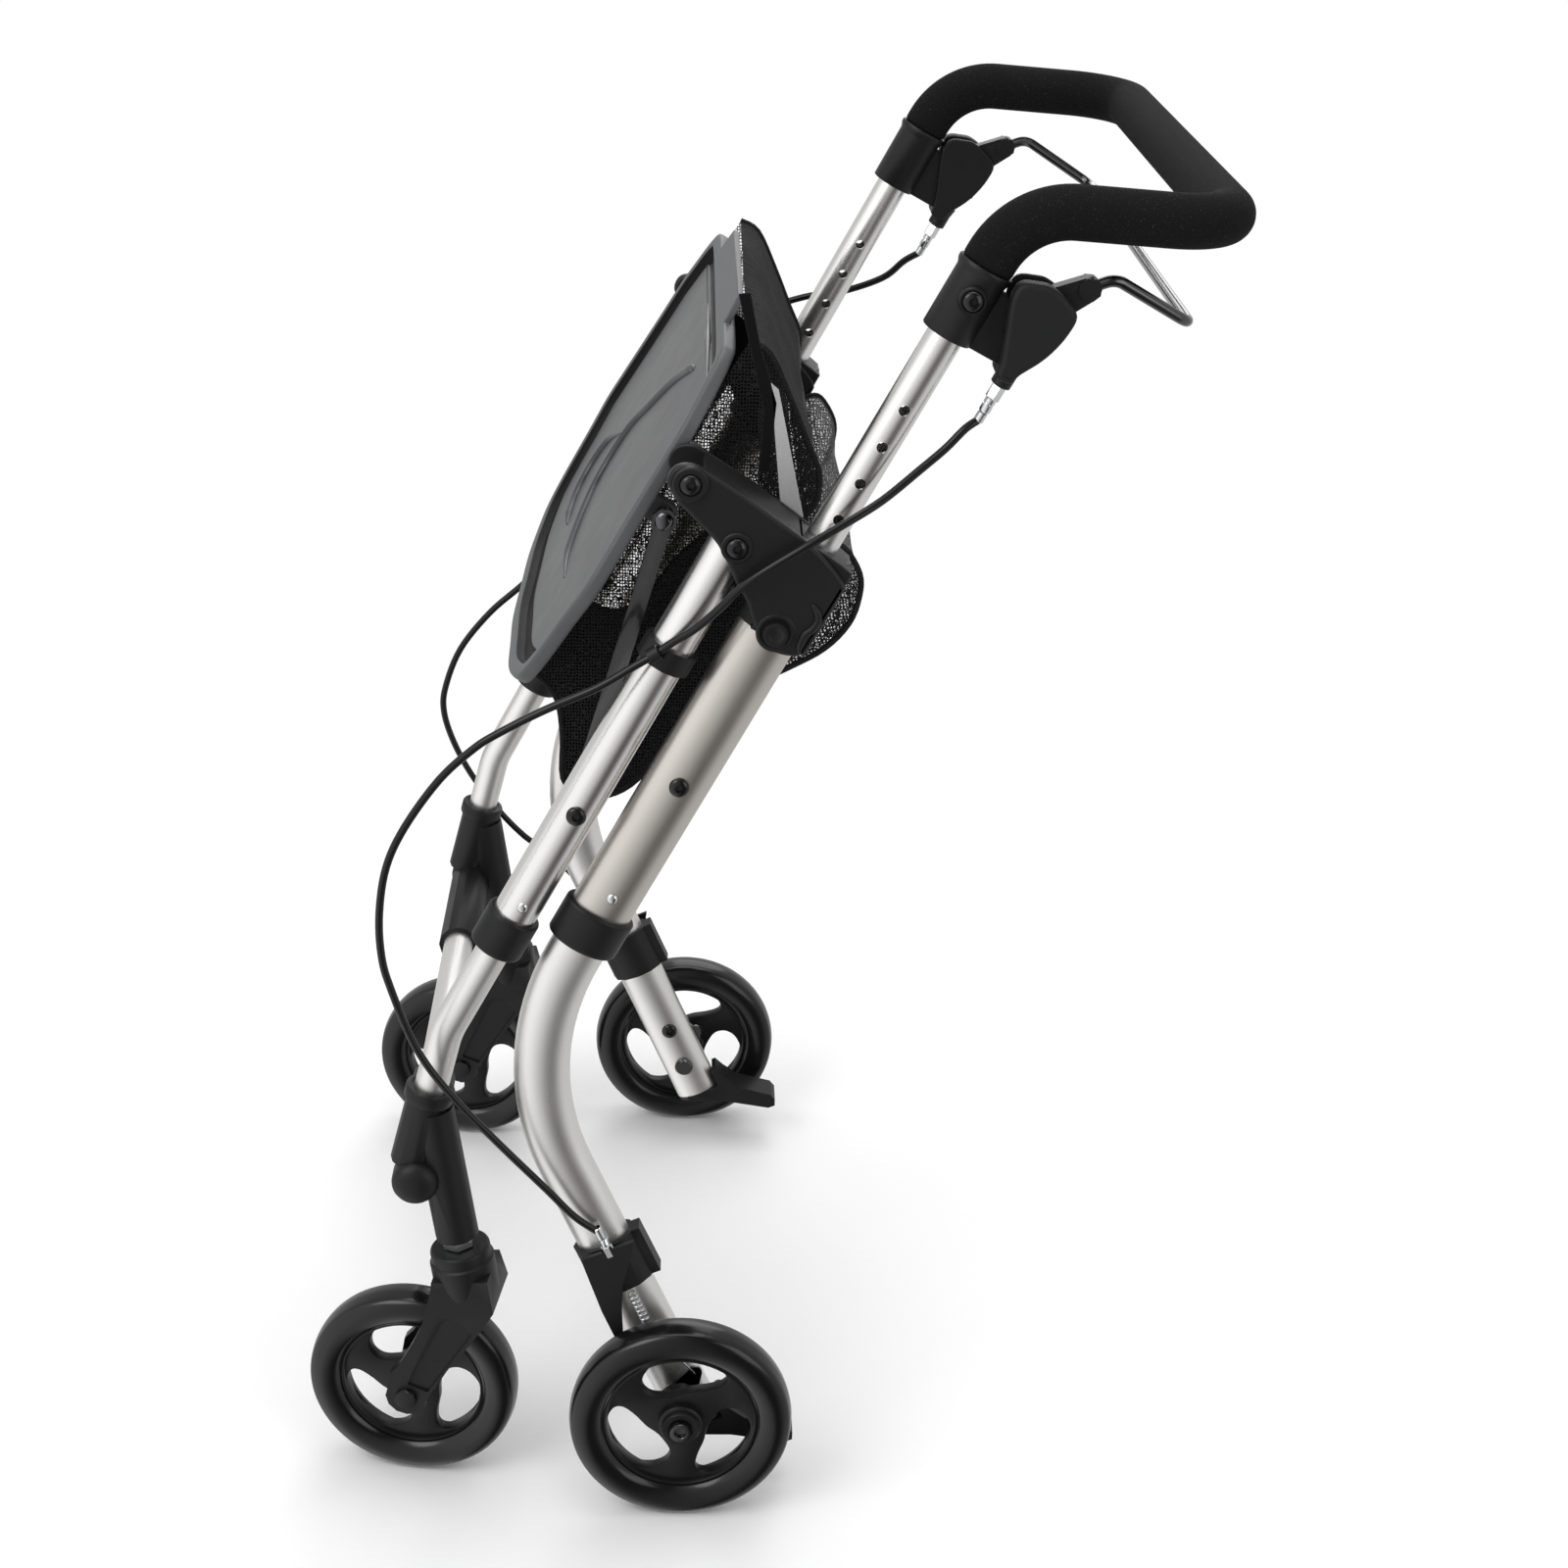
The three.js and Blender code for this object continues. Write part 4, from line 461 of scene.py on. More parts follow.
def bright_steel(name, level, tint, rough, coat=0.0):
    g = Graph(name)
    wear = g.noise(g.place(), 160.0, 4.0)
    grain = g.noise(g.place(), 1900.0, 2.0)
    gloss = rough + 0.12 * (wear - 0.5)
    shade = g.mix(wear, tone(level * 0.86, tint), tone(level * 1.08, tint))
    bump = g.bump(grain, 0.05, 0.0001)
    return g.surface(
        Base_Color=shade, Metallic=1.0, Roughness=gloss, Coat_Weight=coat, Normal=bump
    )


anodised = drawn_metal("anodised", 0.80, (1.0, 0.99, 0.975), 0.27)
champagne = drawn_metal("champagne_satin", 0.60, (1.0, 0.945, 0.88), 0.36)
light_satin = drawn_metal("light_satin", 0.80, (1.0, 0.99, 0.97), 0.40, 0.06)
zinc = bright_steel("bright_zinc", 0.74, (0.98, 1.0, 1.02), 0.22)
black_chrome = bright_steel("black_chrome", 0.085, (1.0, 1.0, 1.05), 0.20, 0.4)
print("metals:", anodised.name, champagne.name, light_satin.name, zinc.name, black_chrome.name)

# %% [markdown]
# ### Plastics, rubber and foam
# Moulded parts copy the grain of their steel mould: a fine, even sparkle that breaks up the
# highlight. The tyres come from a polished mould. Foam shows its cut cells, and pale specks
# painted into its colour stand for cells that catch the light: painted glints.


# %% Plastics, rubber and foam
def moulded(name, level, tint, rough, grain=0.22, fine=1500.0, coat=0.0, shine=0.28):
    g = Graph(name)
    sparkle = g.noise(g.place(), fine, 3.0, 0.6)
    handled = g.noise(g.place(), 34.0, 4.0)
    gloss = rough + 0.10 * (sparkle - 0.5) + 0.12 * (handled - 0.5)
    shade = g.mix(sparkle * 0.6 + handled * 0.4, tone(level * 0.72, tint), tone(level * 1.25, tint))
    return g.surface(
        Base_Color=shade,
        Roughness=gloss,
        Specular_IOR_Level=shine,
        Coat_Weight=coat,
        Normal=g.bump(sparkle, grain, 0.00015),
    )


def cell_foam(name):
    g = Graph(name)
    values = {"Vector": g.place(), "Scale": 1300.0}
    cells = g.node("ShaderNodeTexVoronoi", None, values, out="Distance")
    dust_and_glint_noise = g.noise(g.place(), 1000.0, 3.0, 0.7)
    # pale specks painted into the foam's colour stand for cut cells that catch the light: painted glints
    painted_glints = g.spread(dust_and_glint_noise, 0.62, 0.72)
    broad = g.noise(g.place(), 26.0, 3.0)
    share = painted_glints * (0.35 + 0.4 * broad)
    shade = g.mix(share, tone(0.0065, (1, 1.01, 1.05)), tone(0.10, (1, 1, 1.02)))
    bump = g.bump(cells, 0.45, 0.0004)
    return g.surface(Base_Color=shade, Roughness=0.93, Specular_IOR_Level=0.12, Normal=bump)


black_plastic = moulded("black_plastic", 0.0080, (0.97, 1.0, 1.06), 0.44)
cover_plastic = moulded("cover_plastic", 0.0085, (0.96, 1.0, 1.08), 0.60, 0.30, 1100.0)
tray_grey = moulded("tray_grey", 0.080, (0.98, 1.0, 1.05), 0.50, 0.35, 900.0, 0.0, 0.5)
floor_grey = moulded("floor_grey", 0.037, (0.96, 1.0, 1.10), 0.34, 0.35, 900.0, 0.0, 0.5)
tyre_black = moulded("tyre_black", 0.0050, (1.0, 1.0, 1.03), 0.22, 0.05, 700.0, 0.12, 0.35)
spoke_black = moulded("spoke_black", 0.0075, (1.0, 1.0, 1.04), 0.40, 0.16)
sheath = moulded("cable_sheath", 0.0050, (1.0, 1.0, 1.02), 0.30, 0.05, 500.0, 0.1)
# painted shade: a matte black for the strip laid in the tray's channel, standing for the shade in that
# deep channel
channel_shade_black = moulded("channel_shade_black", 0.0050, (1.0, 1.0, 1.03), 0.55, 0.2, 1500.0, 0.0, 0.15)
foam = cell_foam("cell_foam")
print("plastics:", black_plastic.name, tray_grey.name, tyre_black.name, foam.name)


# %% [markdown]
# ### Cloth
# The bag is sewn from two cloths: a dense black knit on the top and the front, and an open net
# on the sides, through which the daylight shows. Both follow the map of the sheet, so the
# threads bend where the sheet bends.


# %% Cloth
def knit(name, level=0.006, crinkle=3.0):
    g = Graph(name)
    rows = g.node(
        "ShaderNodeTexWave",
        {"bands_direction": "X"},
        {"Vector": g.run(), "Scale": 210.0, "Distortion": 3.0, "Detail": 2.0, "Detail Scale": 3.0},
        out="Fac",
    )
    cross = g.node(
        "ShaderNodeTexWave",
        {"bands_direction": "Y"},
        {"Vector": g.run(), "Scale": 170.0, "Distortion": 2.0, "Detail": 1.0},
        out="Fac",
    )
    fluff = g.noise(g.run((700, 700, 1)), 1.0, 4.0, 0.7)
    weave = rows * 0.5 + cross * 0.3 + fluff * 0.4
    crumple = g.noise(g.run((60, 130, 1)), 1.0, 5.0, 0.65)
    relief = weave * 0.3 + crumple * crinkle
    # the weave gives the knit its own lighter and darker threads; the crumple, which also raises the
    # bump, paints the crinkles lighter and their creases darker: painted shade
    light = g.spread(weave * 0.6 + crumple * 0.6, 0.45, 0.95)
    shade = g.mix(light, tone(level * 0.4), tone(level * 3.4, (1, 1, 1.04)))
    return g.surface(
        Base_Color=shade, Roughness=0.82, Specular_IOR_Level=0.15, Normal=g.bump(relief, 0.8, 0.002)
    )


def open_net(name, pitch=2.5, thread=0.47):
    g = Graph(name)
    wavy = g.noise(g.run((90, 90, 1)), 1.0, 1.0)
    stretch = (1000 / pitch, 1000 / (pitch * 1.15), 1)
    cells = g.node(
        "ShaderNodeTexVoronoi",
        {"feature": "DISTANCE_TO_EDGE"},
        {"Vector": g.run(stretch), "Scale": 1.0, "Randomness": 0.42},
        out="Distance",
    )
    edge = g.spread(cells - 0.05 * wavy, thread * 0.42, thread * 0.52)
    fluff = g.noise(g.run((900, 900, 1)), 1.0, 3.0, 0.7)
    shade = g.mix(fluff, tone(0.004), tone(0.018, (1, 1, 1.05)))
    return g.surface(
        Base_Color=shade,
        Roughness=0.6,
        Specular_IOR_Level=0.2,
        Alpha=1.0 - edge,
        Normal=g.bump(cells, 0.5, 0.0005),
    )


knitted = knit("black_knit")
webbing_black = knit("black_webbing", 0.008, 0.6)
close_netting = open_net("close_net", 1.9, 0.30)
netting = open_net("open_net")
strap_grey = moulded("grey_strap", 0.44, (1.0, 1.0, 1.0), 0.5, 0.3, 700.0)
print("cloths:", knitted.name, netting.name)

# %% [markdown]
# ## Handle
# One tube is bent into both uprights and the push bar. Each upright has a row of holes through
# both walls, and a button on the bracket drops into one of them. The holes are real openings,
# so a little of the bright inner wall shows below each dark hole.

# %% Handle tube
HANDLE_RADIUS = 11
HANDLE_WALL = 1.5
HOLE_RADIUS = 3.3
HOLE_PITCH = 25.18
HOLE_FIRST = 93.68
HOLE_COUNT = 9
HANDLE_BOTTOM = -118.06
GRIP_CORNER = 224.93
GRIP_REAR = (297, 882.5)
AROUND = 48
PATCH = 3  # columns and rows of the tube given up to a hole, to each side


def handle_corners(start):
    half = [on_line(start, 0), on_line(GRIP_CORNER, 0), Vector((SIDE_X, *GRIP_REAR))]
    other = [Vector((-p.x, p.y, p.z)) for p in reversed(half)]
    return half + other


def handle_tube():
    bm = bmesh.new()
    cell = TURN / AROUND * HANDLE_RADIUS
    holes = [HOLE_FIRST - i * HOLE_PITCH for i in range(HOLE_COUNT)][::-1]
    marks = [HANDLE_BOTTOM]
    for hole in holes:
        marks += [hole + k * cell for k in range(-PATCH, PATCH + 1)]
    left = [on_line(t, 0) for t in marks]
    bend = bent(handle_corners(GRIP_CORNER - 100), [50, 40, 40, 50], 14)
    right = [Vector((-p.x, p.y, p.z)) for p in reversed(left)]
    points = left + bend + right
    spans = carried(points, OUTWARD)
    count = len(points)
    angles = [j * TURN / AROUND for j in range(AROUND)]
    outer, inner = (
        [
            [bm.verts.new(p + s * r * math.cos(a) + u * r * math.sin(a)) for a in angles]
            for p, (s, u) in zip(points, spans)
        ]
        for r in (HANDLE_RADIUS, HANDLE_RADIUS - HANDLE_WALL)
    )
    layer = bm.loops.layers.uv.new("run")
    lengths = [0.0]
    for a, b in zip(points, points[1:]):
        lengths.append(lengths[-1] + (b - a).length)
    centres = [1 + i * (2 * PATCH + 1) + PATCH for i in range(HOLE_COUNT)]
    centres += [count - 1 - row for row in centres]

    def drilled(row, column):
        beside = any(c - PATCH <= row < c + PATCH for c in centres)
        return beside and (column + PATCH) % (AROUND // 2) < 2 * PATCH

    def lay(corners, spots):
        face = bm.faces.new(corners)
        for loop, (column, length) in zip(face.loops, spots):
            loop[layer].uv = (column * cell * MM, length * MM)

    for rows in (outer, inner):
        for i in range(count - 1):
            for j in range(AROUND):
                if not drilled(i, j):
                    k = (j + 1) % AROUND
                    low, high = lengths[i], lengths[i + 1]
                    spots = ((j, low), (j + 1, low), (j + 1, high), (j, high))
                    lay((rows[i][j], rows[i][k], rows[i + 1][k], rows[i + 1][j]), spots)
    for end in (0, count - 1):
        for j in range(AROUND):
            k = (j + 1) % AROUND
            corners = (outer[end][j], outer[end][k], inner[end][k], inner[end][j])
            lay(corners, ((j, lengths[end]),) * 4)
    rim = [(c, -PATCH) for c in range(-PATCH, PATCH)] + [(PATCH, r) for r in range(-PATCH, PATCH)]
    rim += [(-c, -r) for c, r in rim]
    for centre in centres:
        here, (side, up) = points[centre], spans[centre]
        run = side.cross(up)
        for middle in (0, AROUND // 2):
            circles = []
            angles = [math.atan2(r, c) for c, r in rim]
            edge_spots = [(middle + c, lengths[centre + r]) for c, r in rim]
            hole_spots = [
                (middle + HOLE_RADIUS * math.cos(a) / cell, lengths[centre] + HOLE_RADIUS * math.sin(a))
                for a in angles
            ]
            for rows, radius in ((outer, HANDLE_RADIUS), (inner, HANDLE_RADIUS - HANDLE_WALL)):
                square = [rows[centre + r][(middle + c) % AROUND] for c, r in rim]
                circle = []
                for angle in angles:
                    turn = middle * TURN / AROUND + math.asin(HOLE_RADIUS * math.cos(angle) / radius)
                    spot = here + (side * math.cos(turn) + up * math.sin(turn)) * radius
                    circle.append(bm.verts.new(spot + run * HOLE_RADIUS * math.sin(angle)))
                for i in range(len(rim)):
                    k = (i + 1) % len(rim)
                    spots = (edge_spots[i], edge_spots[k], hole_spots[k], hole_spots[i])
                    lay((square[i], square[k], circle[k], circle[i]), spots)
                circles.append(circle)
            for i in range(len(rim)):
                k = (i + 1) % len(rim)
                spots = (hole_spots[i], hole_spots[k], hole_spots[k], hole_spots[i])
                lay((circles[0][i], circles[0][k], circles[1][k], circles[1][i]), spots)
    return stand(bm, "handle_tube", anodised, "handle", 1, 50)


made = handle_tube()
print("handle tube:", len(made.data.polygons), "faces")

# %% [markdown]
# ## Foam grip and brake bar
# The grip is a foam sleeve pushed over the bend, cut square at the clamps with a slightly
# rolled edge. The brake bar is one black-chromed rod that hangs behind the grip from a lever on
# each side, so that either hand works both brakes.

# %% Foam grip and brake bar
FOAM_RADIUS = 15.8
FOAM_START = 187.3
path = bent(handle_corners(FOAM_START), [50, 40, 40, 50], 18)
start_run = (path[1] - path[0]).normalized()
end_run = (path[-2] - path[-1]).normalized()
path = (
    [path[0], path[0] + start_run * 0.5, path[0] + start_run * 2.2]
    + path[1:-1]
    + [path[-1] + end_run * 2.2, path[-1] + end_run * 0.5, path[-1]]
)
swell = [0.93, 0.975, 1.0] + [1.0] * (len(path) - 6) + [1.0, 0.975, 0.93]
bm = bmesh.new()
tube(bm, path, oval(FOAM_RADIUS, FOAM_RADIUS, 48), FOAM_RADIUS - HANDLE_RADIUS - 0.3, swell)
grip = stand(bm, "grip_foam", foam, "handle", 1, 50)

LEVER_END = on_line(204.93, 57.5)
half = [LEVER_END, Vector((SIDE_X, 229, 850)), Vector((205, 277, 822))]
other = [Vector((-p.x, p.y, p.z)) for p in reversed(half)]
bar = bent(half + other, [12, 12, 12, 12], 10)
rod = oval(3.5, 3.5, 24)
drawn("brake_bar", bar, rod, 0, black_chrome, "brake_bar", 1, "black_steel")
print("grip path points:", len(path))

# %% [markdown]
# ## Frame tubes
# The rear upper tube is an oval that the handle slides in. A lighter oval leg telescopes out of
# it and bends forward to the rear wheel. The front tube hinges on the bracket and a thinner leg
# runs down from it to the caster. Screws and rivets hold the collars.

# %% Frame tubes
REAR_HALF = (14.0, 20.0)
LEG_HALF = (12.2, 18.2)
FRONT_RADIUS = 14
FRONT_ACROSS = -46.1
CROSS_Y, CROSS_Z = -178, 243
leg_slope = math.sin(LEAN) * math.cos(LEG_LEAN) + math.cos(LEAN) * math.sin(LEG_LEAN)
reach = on_leg(0, 0) - on_line(0, 0)
leg_corner = (reach.y * math.cos(LEG_LEAN) + reach.z * math.sin(LEG_LEAN)) / leg_slope
leg_path = bent([on_line(-250, 0), on_line(leg_corner, 0), on_leg(-29.7, 0)], [180], 16)
front_corner = on_line(-404.8, FRONT_ACROSS)
fall = front_corner.z - 262
front_foot = front_corner + Vector((0, -fall * math.tan(math.radians(13.6)), -fall))
front_path = bent([on_line(-298, FRONT_ACROSS), front_corner, front_foot], [60], 12)


def straight(start, end, across, count=3):
    return [on_line(start + (end - start) * i / (count - 1), across) for i in range(count)]


REAR_LINE = straight(-302.7, -14, 0)
FRONT_LINE = straight(-332, -12, FRONT_ACROSS)
FRONT_OVAL = oval(FRONT_RADIUS, FRONT_RADIUS, 64)
TUBES = [
    ("rear_tube", REAR_LINE, oval(*REAR_HALF, 64), 1.5, champagne, "rear_frame", "rear_tube"),
    ("rear_leg", leg_path, oval(*LEG_HALF, 64), 1.8, light_satin, "rear_frame", "leg_paint"),
    ("front_tube", FRONT_LINE, FRONT_OVAL, 1.5, anodised, "front_frame", "handle_tube"),
    ("front_leg", front_path, oval(11, 11, 48), 1.5, light_satin, "front_frame", "leg_paint"),
]
COLLARS = [
    ("rear_collar", (17.5, 23.5), 0, -279, -306, "rear_frame"),
    ("front_collar", (17.5, 17.5), FRONT_ACROSS, -308, -335, "front_frame"),
]
GROW = [0.94, 0.975, 1.0, 1.0, 1.0, 1.0, 0.975, 0.94]
for name, side in SIDES.items():
    for part, points, section, wall, metal, body, slot in TUBES:
        drawn(f"{part}_{name}", points, section, wall, metal, body, side, slot)
    for part, half_size, across, top, bottom, body in COLLARS:
        rims = (0, 0.4, 1.4, 4)
        marks = [bottom + rim for rim in rims] + [top - rim for rim in rims[::-1]]
        points = [on_line(t, across) for t in marks]
        section = oval(*half_size, 56)
        look = (3.2, black_plastic, body, side, "black_plastic")
        drawn(f"{part}_{name}", points, section, *look, swell=GROW)

bar_line = [on_line(-26.9, -0.7, x) for x in (-198.7, 0, 198.7)]
look = (0, anodised, "rear_frame", 1, "handle_tube")
drawn("bracket_cross_bar", bar_line, oval(4.2, 9.8, 48), *look, hint=ACROSS)
cross_line = [Vector((x, CROSS_Y, CROSS_Z)) for x in (-208, 0, 208)]
look = (1.5, light_satin, "front_frame", 1, "leg_paint")
drawn("front_cross_tube", cross_line, oval(11, 11, 48), *look, hint=Vector((0, 1, 0)))
print("leg bends at", round(leg_corner, 1), "mm along the tube line")

# %% [markdown]
# ## Screws and rivets
# Black domed screws hold the tubes to the brackets, and small bright rivets stop the legs from
# sliding out. They are turned pieces with a socket in the crown, so the light makes a ring.

# %% Screws and rivets
LEG_SCREW = (35.9, 2.1)
RIVET = [(3.4, -1), (3.4, 0.3), (3.0, 1.0), (2.0, 1.5), (0, 1.7)]
front_x = SIDE_X + FRONT_RADIUS
rear_x = SIDE_X + REAR_HALF[0]
SCREWS = [
    ("rear_tube", on_line(-176.7, 0, rear_x), OUTWARD, "rear_frame"),
    ("rear_leg", on_leg(*LEG_SCREW, SIDE_X + LEG_HALF[0]), OUTWARD, "rear_frame"),
    ("front_tube", on_line(-224.2, FRONT_ACROSS, front_x), OUTWARD, "front_frame"),
    ("leg_inside", on_leg(*LEG_SCREW, SIDE_X - LEG_HALF[0]), -OUTWARD, "rear_frame"),
]
RIVETS = [
    ("rear", on_line(-263.8, 0, rear_x), "rear_frame"),
    ("front", on_line(-296.1, FRONT_ACROSS, front_x), "front_frame"),
]
for name, side in SIDES.items():
    for label, place, axis, body in SCREWS:
        bm = bmesh.new()
        screw(bm, place, axis=axis)
        show(bm, f"screw_{label}_{name}", tyre_black, body, side, (), 55)
    for label, place, body in RIVETS:
        turned(f"rivet_{label}_{name}", RIVET, 24, place, zinc, body, side)
print("screws set on both sides")

# %% [markdown]
# ## Shoulder bracket
# Two moulded cheeks hold everything together at shoulder height: the rear tube's sleeve, the
# front tube's hinge, the tray's hinge and the lock button. A web closes the gap between them
# along the top. The outer cheek has a soft rim and a thumb ridge in the shape of an S.

# %% Shoulder bracket
BRACKET = [
    (-0.2, 1.08), (-0.13, 1.135), (-0.02, 1.15), (0.07, 1.13), (0.14, 1.07), (0.165, 0.98),
    (0.132, 0.7), (0.077, 0.42), (0.02, 0.165), (-0.06, -0.03), (-0.16, -0.19), (-0.23, -0.245),
    (-0.32, -0.255), (-1, -0.255), (-1.1, -0.225), (-1.17, -0.15), (-1.2, -0.045), (-1.155, 0.06),
    (-1, 0.19), (-0.85, 0.285), (-0.71, 0.42), (-0.46, 0.64), (-0.335, 0.87), (-0.27, 1),
]
PIVOT = (-1.1, -88.5)
HINGE = (-22.2, FRONT_ACROSS)
LOCK_ALONG = -57.4
outline = flat([(across * PIVOT[1], along * -LOCK_ALONG) for along, across in BRACKET])
outline = smooth_line(outline, 4, closed=True)
CHEEK_X = 244


def line_place(across, along, x):
    return on_line(along, across, x)


for name, side in SIDES.items():
    bm = bmesh.new()
    plate(bm, outline, CHEEK_X - 8.6, CHEEK_X, 2.6, line_place)
    plate(bm, outline, 199, 203.4, 1.2, line_place)
    sleeve = [on_line(t, 0) for t in (-64, -63, -34, -5, -4)]
    tube(bm, sleeve, oval(16.7, 22.7, 56), 2.4, [0.97, 1, 1, 1, 0.97])
    web = [(-84, 9), (-74, 8.3), (-62, 7.4), (-50, 6.2), (-37, 4.3), (-24, 2), (-16, 1)]
    web += [(-16, -2), (-24, -1), (-37, 1.6), (-50, 3.2), (-62, 4.4), (-74, 5.3), (-84, 6)]
    plate(bm, flat(web), 202, CHEEK_X - 5, 0.8, line_place)
    back = [(-13.6, -63.5), (22.4, -63.5), (22.4, -5), (14, -3), (-13.6, 0)]
    plate(bm, flat(back), 204, CHEEK_X - 4, 1.2, line_place)
    for along, across, radius, high in ((*PIVOT, 10.6, 3.0), (*HINGE, 9.5, 1.5)):
        low = high - 0.9
        boss = [(radius, -4), (radius, low), (radius - 0.9, high), (6.9, high), (6.6, low), (0, low)]
        lathe(bm, boss, 40, on_line(along, across, CHEEK_X), OUTWARD)
    lock = [(12, -4), (12, 0.1), (11.4, 0.6), (9.1, 0.6), (8.4, 0), (8.3, -2), (0, -2)]
    lathe(bm, lock, 40, on_line(LOCK_ALONG, 0, CHEEK_X), OUTWARD)
    ridge = [(18, -62), (16, -56), (15.5, -50), (17.5, -45), (18, -39), (15, -34), (10, -31)]
    ridge = [on_line(p.y, p.x, CHEEK_X + 0.1) for p in smooth_line(flat(ridge), 6)]
    last = len(ridge) - 1
    fat = [min(1.0, 0.4 + 0.1 * min(i, last - i)) for i in range(1, last)]
    fat = [0.25] + fat + [0.25]
    tube(bm, ridge, oval(2.4, 2.4, 20), 0, fat)
    lathe(bm, [(4.4, 0), (4.4, 10.4), (0, 10.4)], 24, on_line(*PIVOT, 188), OUTWARD)
    stand(bm, f"main_bracket_{name}", black_plastic, "rear_frame", side, 42)
    bm = bmesh.new()
    screw(bm, on_line(*PIVOT, CHEEK_X + 2.1), 6.2, 3.4)
    screw(bm, on_line(*HINGE, CHEEK_X + 0.6), 6.2, 3.4)
    show(bm, f"bracket_screws_{name}", tyre_black, "rear_frame", side, (), 55)
    bm = bmesh.new()
    head = [(7.6, 0.2), (7.6, 3.0), (7.0, 3.9), (5.2, 4.2), (4.0, 3.6), (3.2, 3.3), (0, 3.2)]
    lathe(bm, head, 36, on_line(LOCK_ALONG, 0, CHEEK_X + 0.4), OUTWARD)
    pin = [(3, -12), (3, 0.4), (0, 0.4)]
    lathe(bm, pin, 20, on_line(LOCK_ALONG, 0, CHEEK_X + 0.4), OUTWARD)
    node = f"height_button_{name}"
    stand(bm, node, black_plastic, node, side)
print("bracket outline points:", len(outline))

# %% [markdown]
# ## Handle clamp, brake housing and levers
# Below the foam a turned clamp with a lip grips the tube. Its web carries the brake housing: a
# thin inner half, and a cushion-shaped cover whose edge is rounded all the way round. A short
# nose leads the cable out through a screw barrel.

# %% Clamp and housing
HOUSING = [
    (0.898, 0.333), (0.973, 0.493), (1, 0.62), (0.967, 0.818), (0.889, 0.983), (0.711, 1),
    (0.525, 0.962), (0.374, 0.898), (0.206, 0.796), (0.097, 0.755), (0.097, 0.605), (0.233, 0.56),
    (0.464, 0.45), (0.738, 0.322),
]
CLAMP_TOP, CLAMP_BOTTOM = 187.03, 142.03
CLAMP_RADIUS = 15.6
CLAMP_SCREW = 168.6
HOUSING_FOOT = 131.63
NOSE_ACROSS = 42.8
case = flat([(across * 57.6, HOUSING_FOOT + along * 65.5) for along, across in HOUSING])
case = smooth_line(case, 4, closed=True)
up_line = (on_line(1, 0) - on_line(0, 0)).normalized()
for name, side in SIDES.items():
    bm = bmesh.new()
    barrel = [(12, CLAMP_BOTTOM), (15.0, CLAMP_BOTTOM), (CLAMP_RADIUS, CLAMP_BOTTOM + 0.7)]
    lip = [(CLAMP_RADIUS, 6.5), (16.0, 5), (17.0, 3), (17.2, 1), (16.7, 0), (12, 0)]
    barrel += [(radius, CLAMP_TOP - below) for radius, below in lip]
    lathe(bm, barrel, 56, on_line(0, 0), up_line, OUTWARD)
    boss = [(9.4, -6), (8.6, -1.2), (8.3, 0), (8.3, 2.0), (7.6, 3.0), (6.6, 3.0), (6.5, 1.8), (0, 1.8)]
    lathe(bm, boss, 40, on_line(CLAMP_SCREW, 0, SIDE_X + CLAMP_RADIUS), OUTWARD)
    plate(bm, case, SIDE_X - 9.2, SIDE_X - 5.2, 1.2, line_place)
    lower = [p for p in case if p.y < 166]
    plate(bm, lower, SIDE_X - 9, SIDE_X + 5.2, 0.8, line_place)
    web = flat([(6, 142.4), (36.6, 142.4), (42.8, 160), (20, 179), (6, 179)])
    plate(bm, web, SIDE_X - 5.2, SIDE_X + 5.2, 1.0, line_place)
    nose = [(0, 0), (5.6, 0), (6.2, 0.6), (6.3, 10), (7.4, 16), (0, 17)]
    lathe(bm, nose, 32, on_line(HOUSING_FOOT, NOSE_ACROSS), up_line, OUTWARD)
    stand(bm, f"handle_clamp_{name}", black_plastic, "handle", side, 42)
    bm = bmesh.new()
    screw(bm, on_line(CLAMP_SCREW, 0, SIDE_X + CLAMP_RADIUS + 1.8), 6.1, 3.2)
    show(bm, f"clamp_screw_{name}", tyre_black, "handle", side, (), 55)
    bm = bmesh.new()
    plate(bm, case, SIDE_X + 5.5, SIDE_X + 19.5, 3.0, line_place)
    stand(bm, f"brake_cover_{name}", cover_plastic, "handle", side, 42)
    soften(f"lever_root_{name}", black_plastic, 0.9)
    bm = bmesh.new()
    foot = on_line(HOUSING_FOOT - 0.3, NOSE_ACROSS)
    nut = [(0, -9), (4.1, -9), (4.6, -8.4), (4.6, -0.5), (4.2, 0), (0, 0)]
    lathe(bm, nut, 6, foot, up_line, OUTWARD)
    neck = [(0, -18), (2.8, -18), (3.4, -17), (3.4, -13), (2.9, -12.6), (3.4, -12), (3.4, -8), (0, -8)]
    lathe(bm, neck, 28, foot, up_line, OUTWARD)
    stand(bm, f"upper_adjuster_{name}", zinc, "handle", side, 35)
print("housing outline points:", len(case))

# %% [markdown]
# ## Brake cables
# Each cable runs in a black sheath from the housing, round the outside of the bracket, through
# the clip on the front tube and in one long bow back to the rear wheel. Bright ferrules close
# both ends. The line through each point is the one that the exact solid follows.

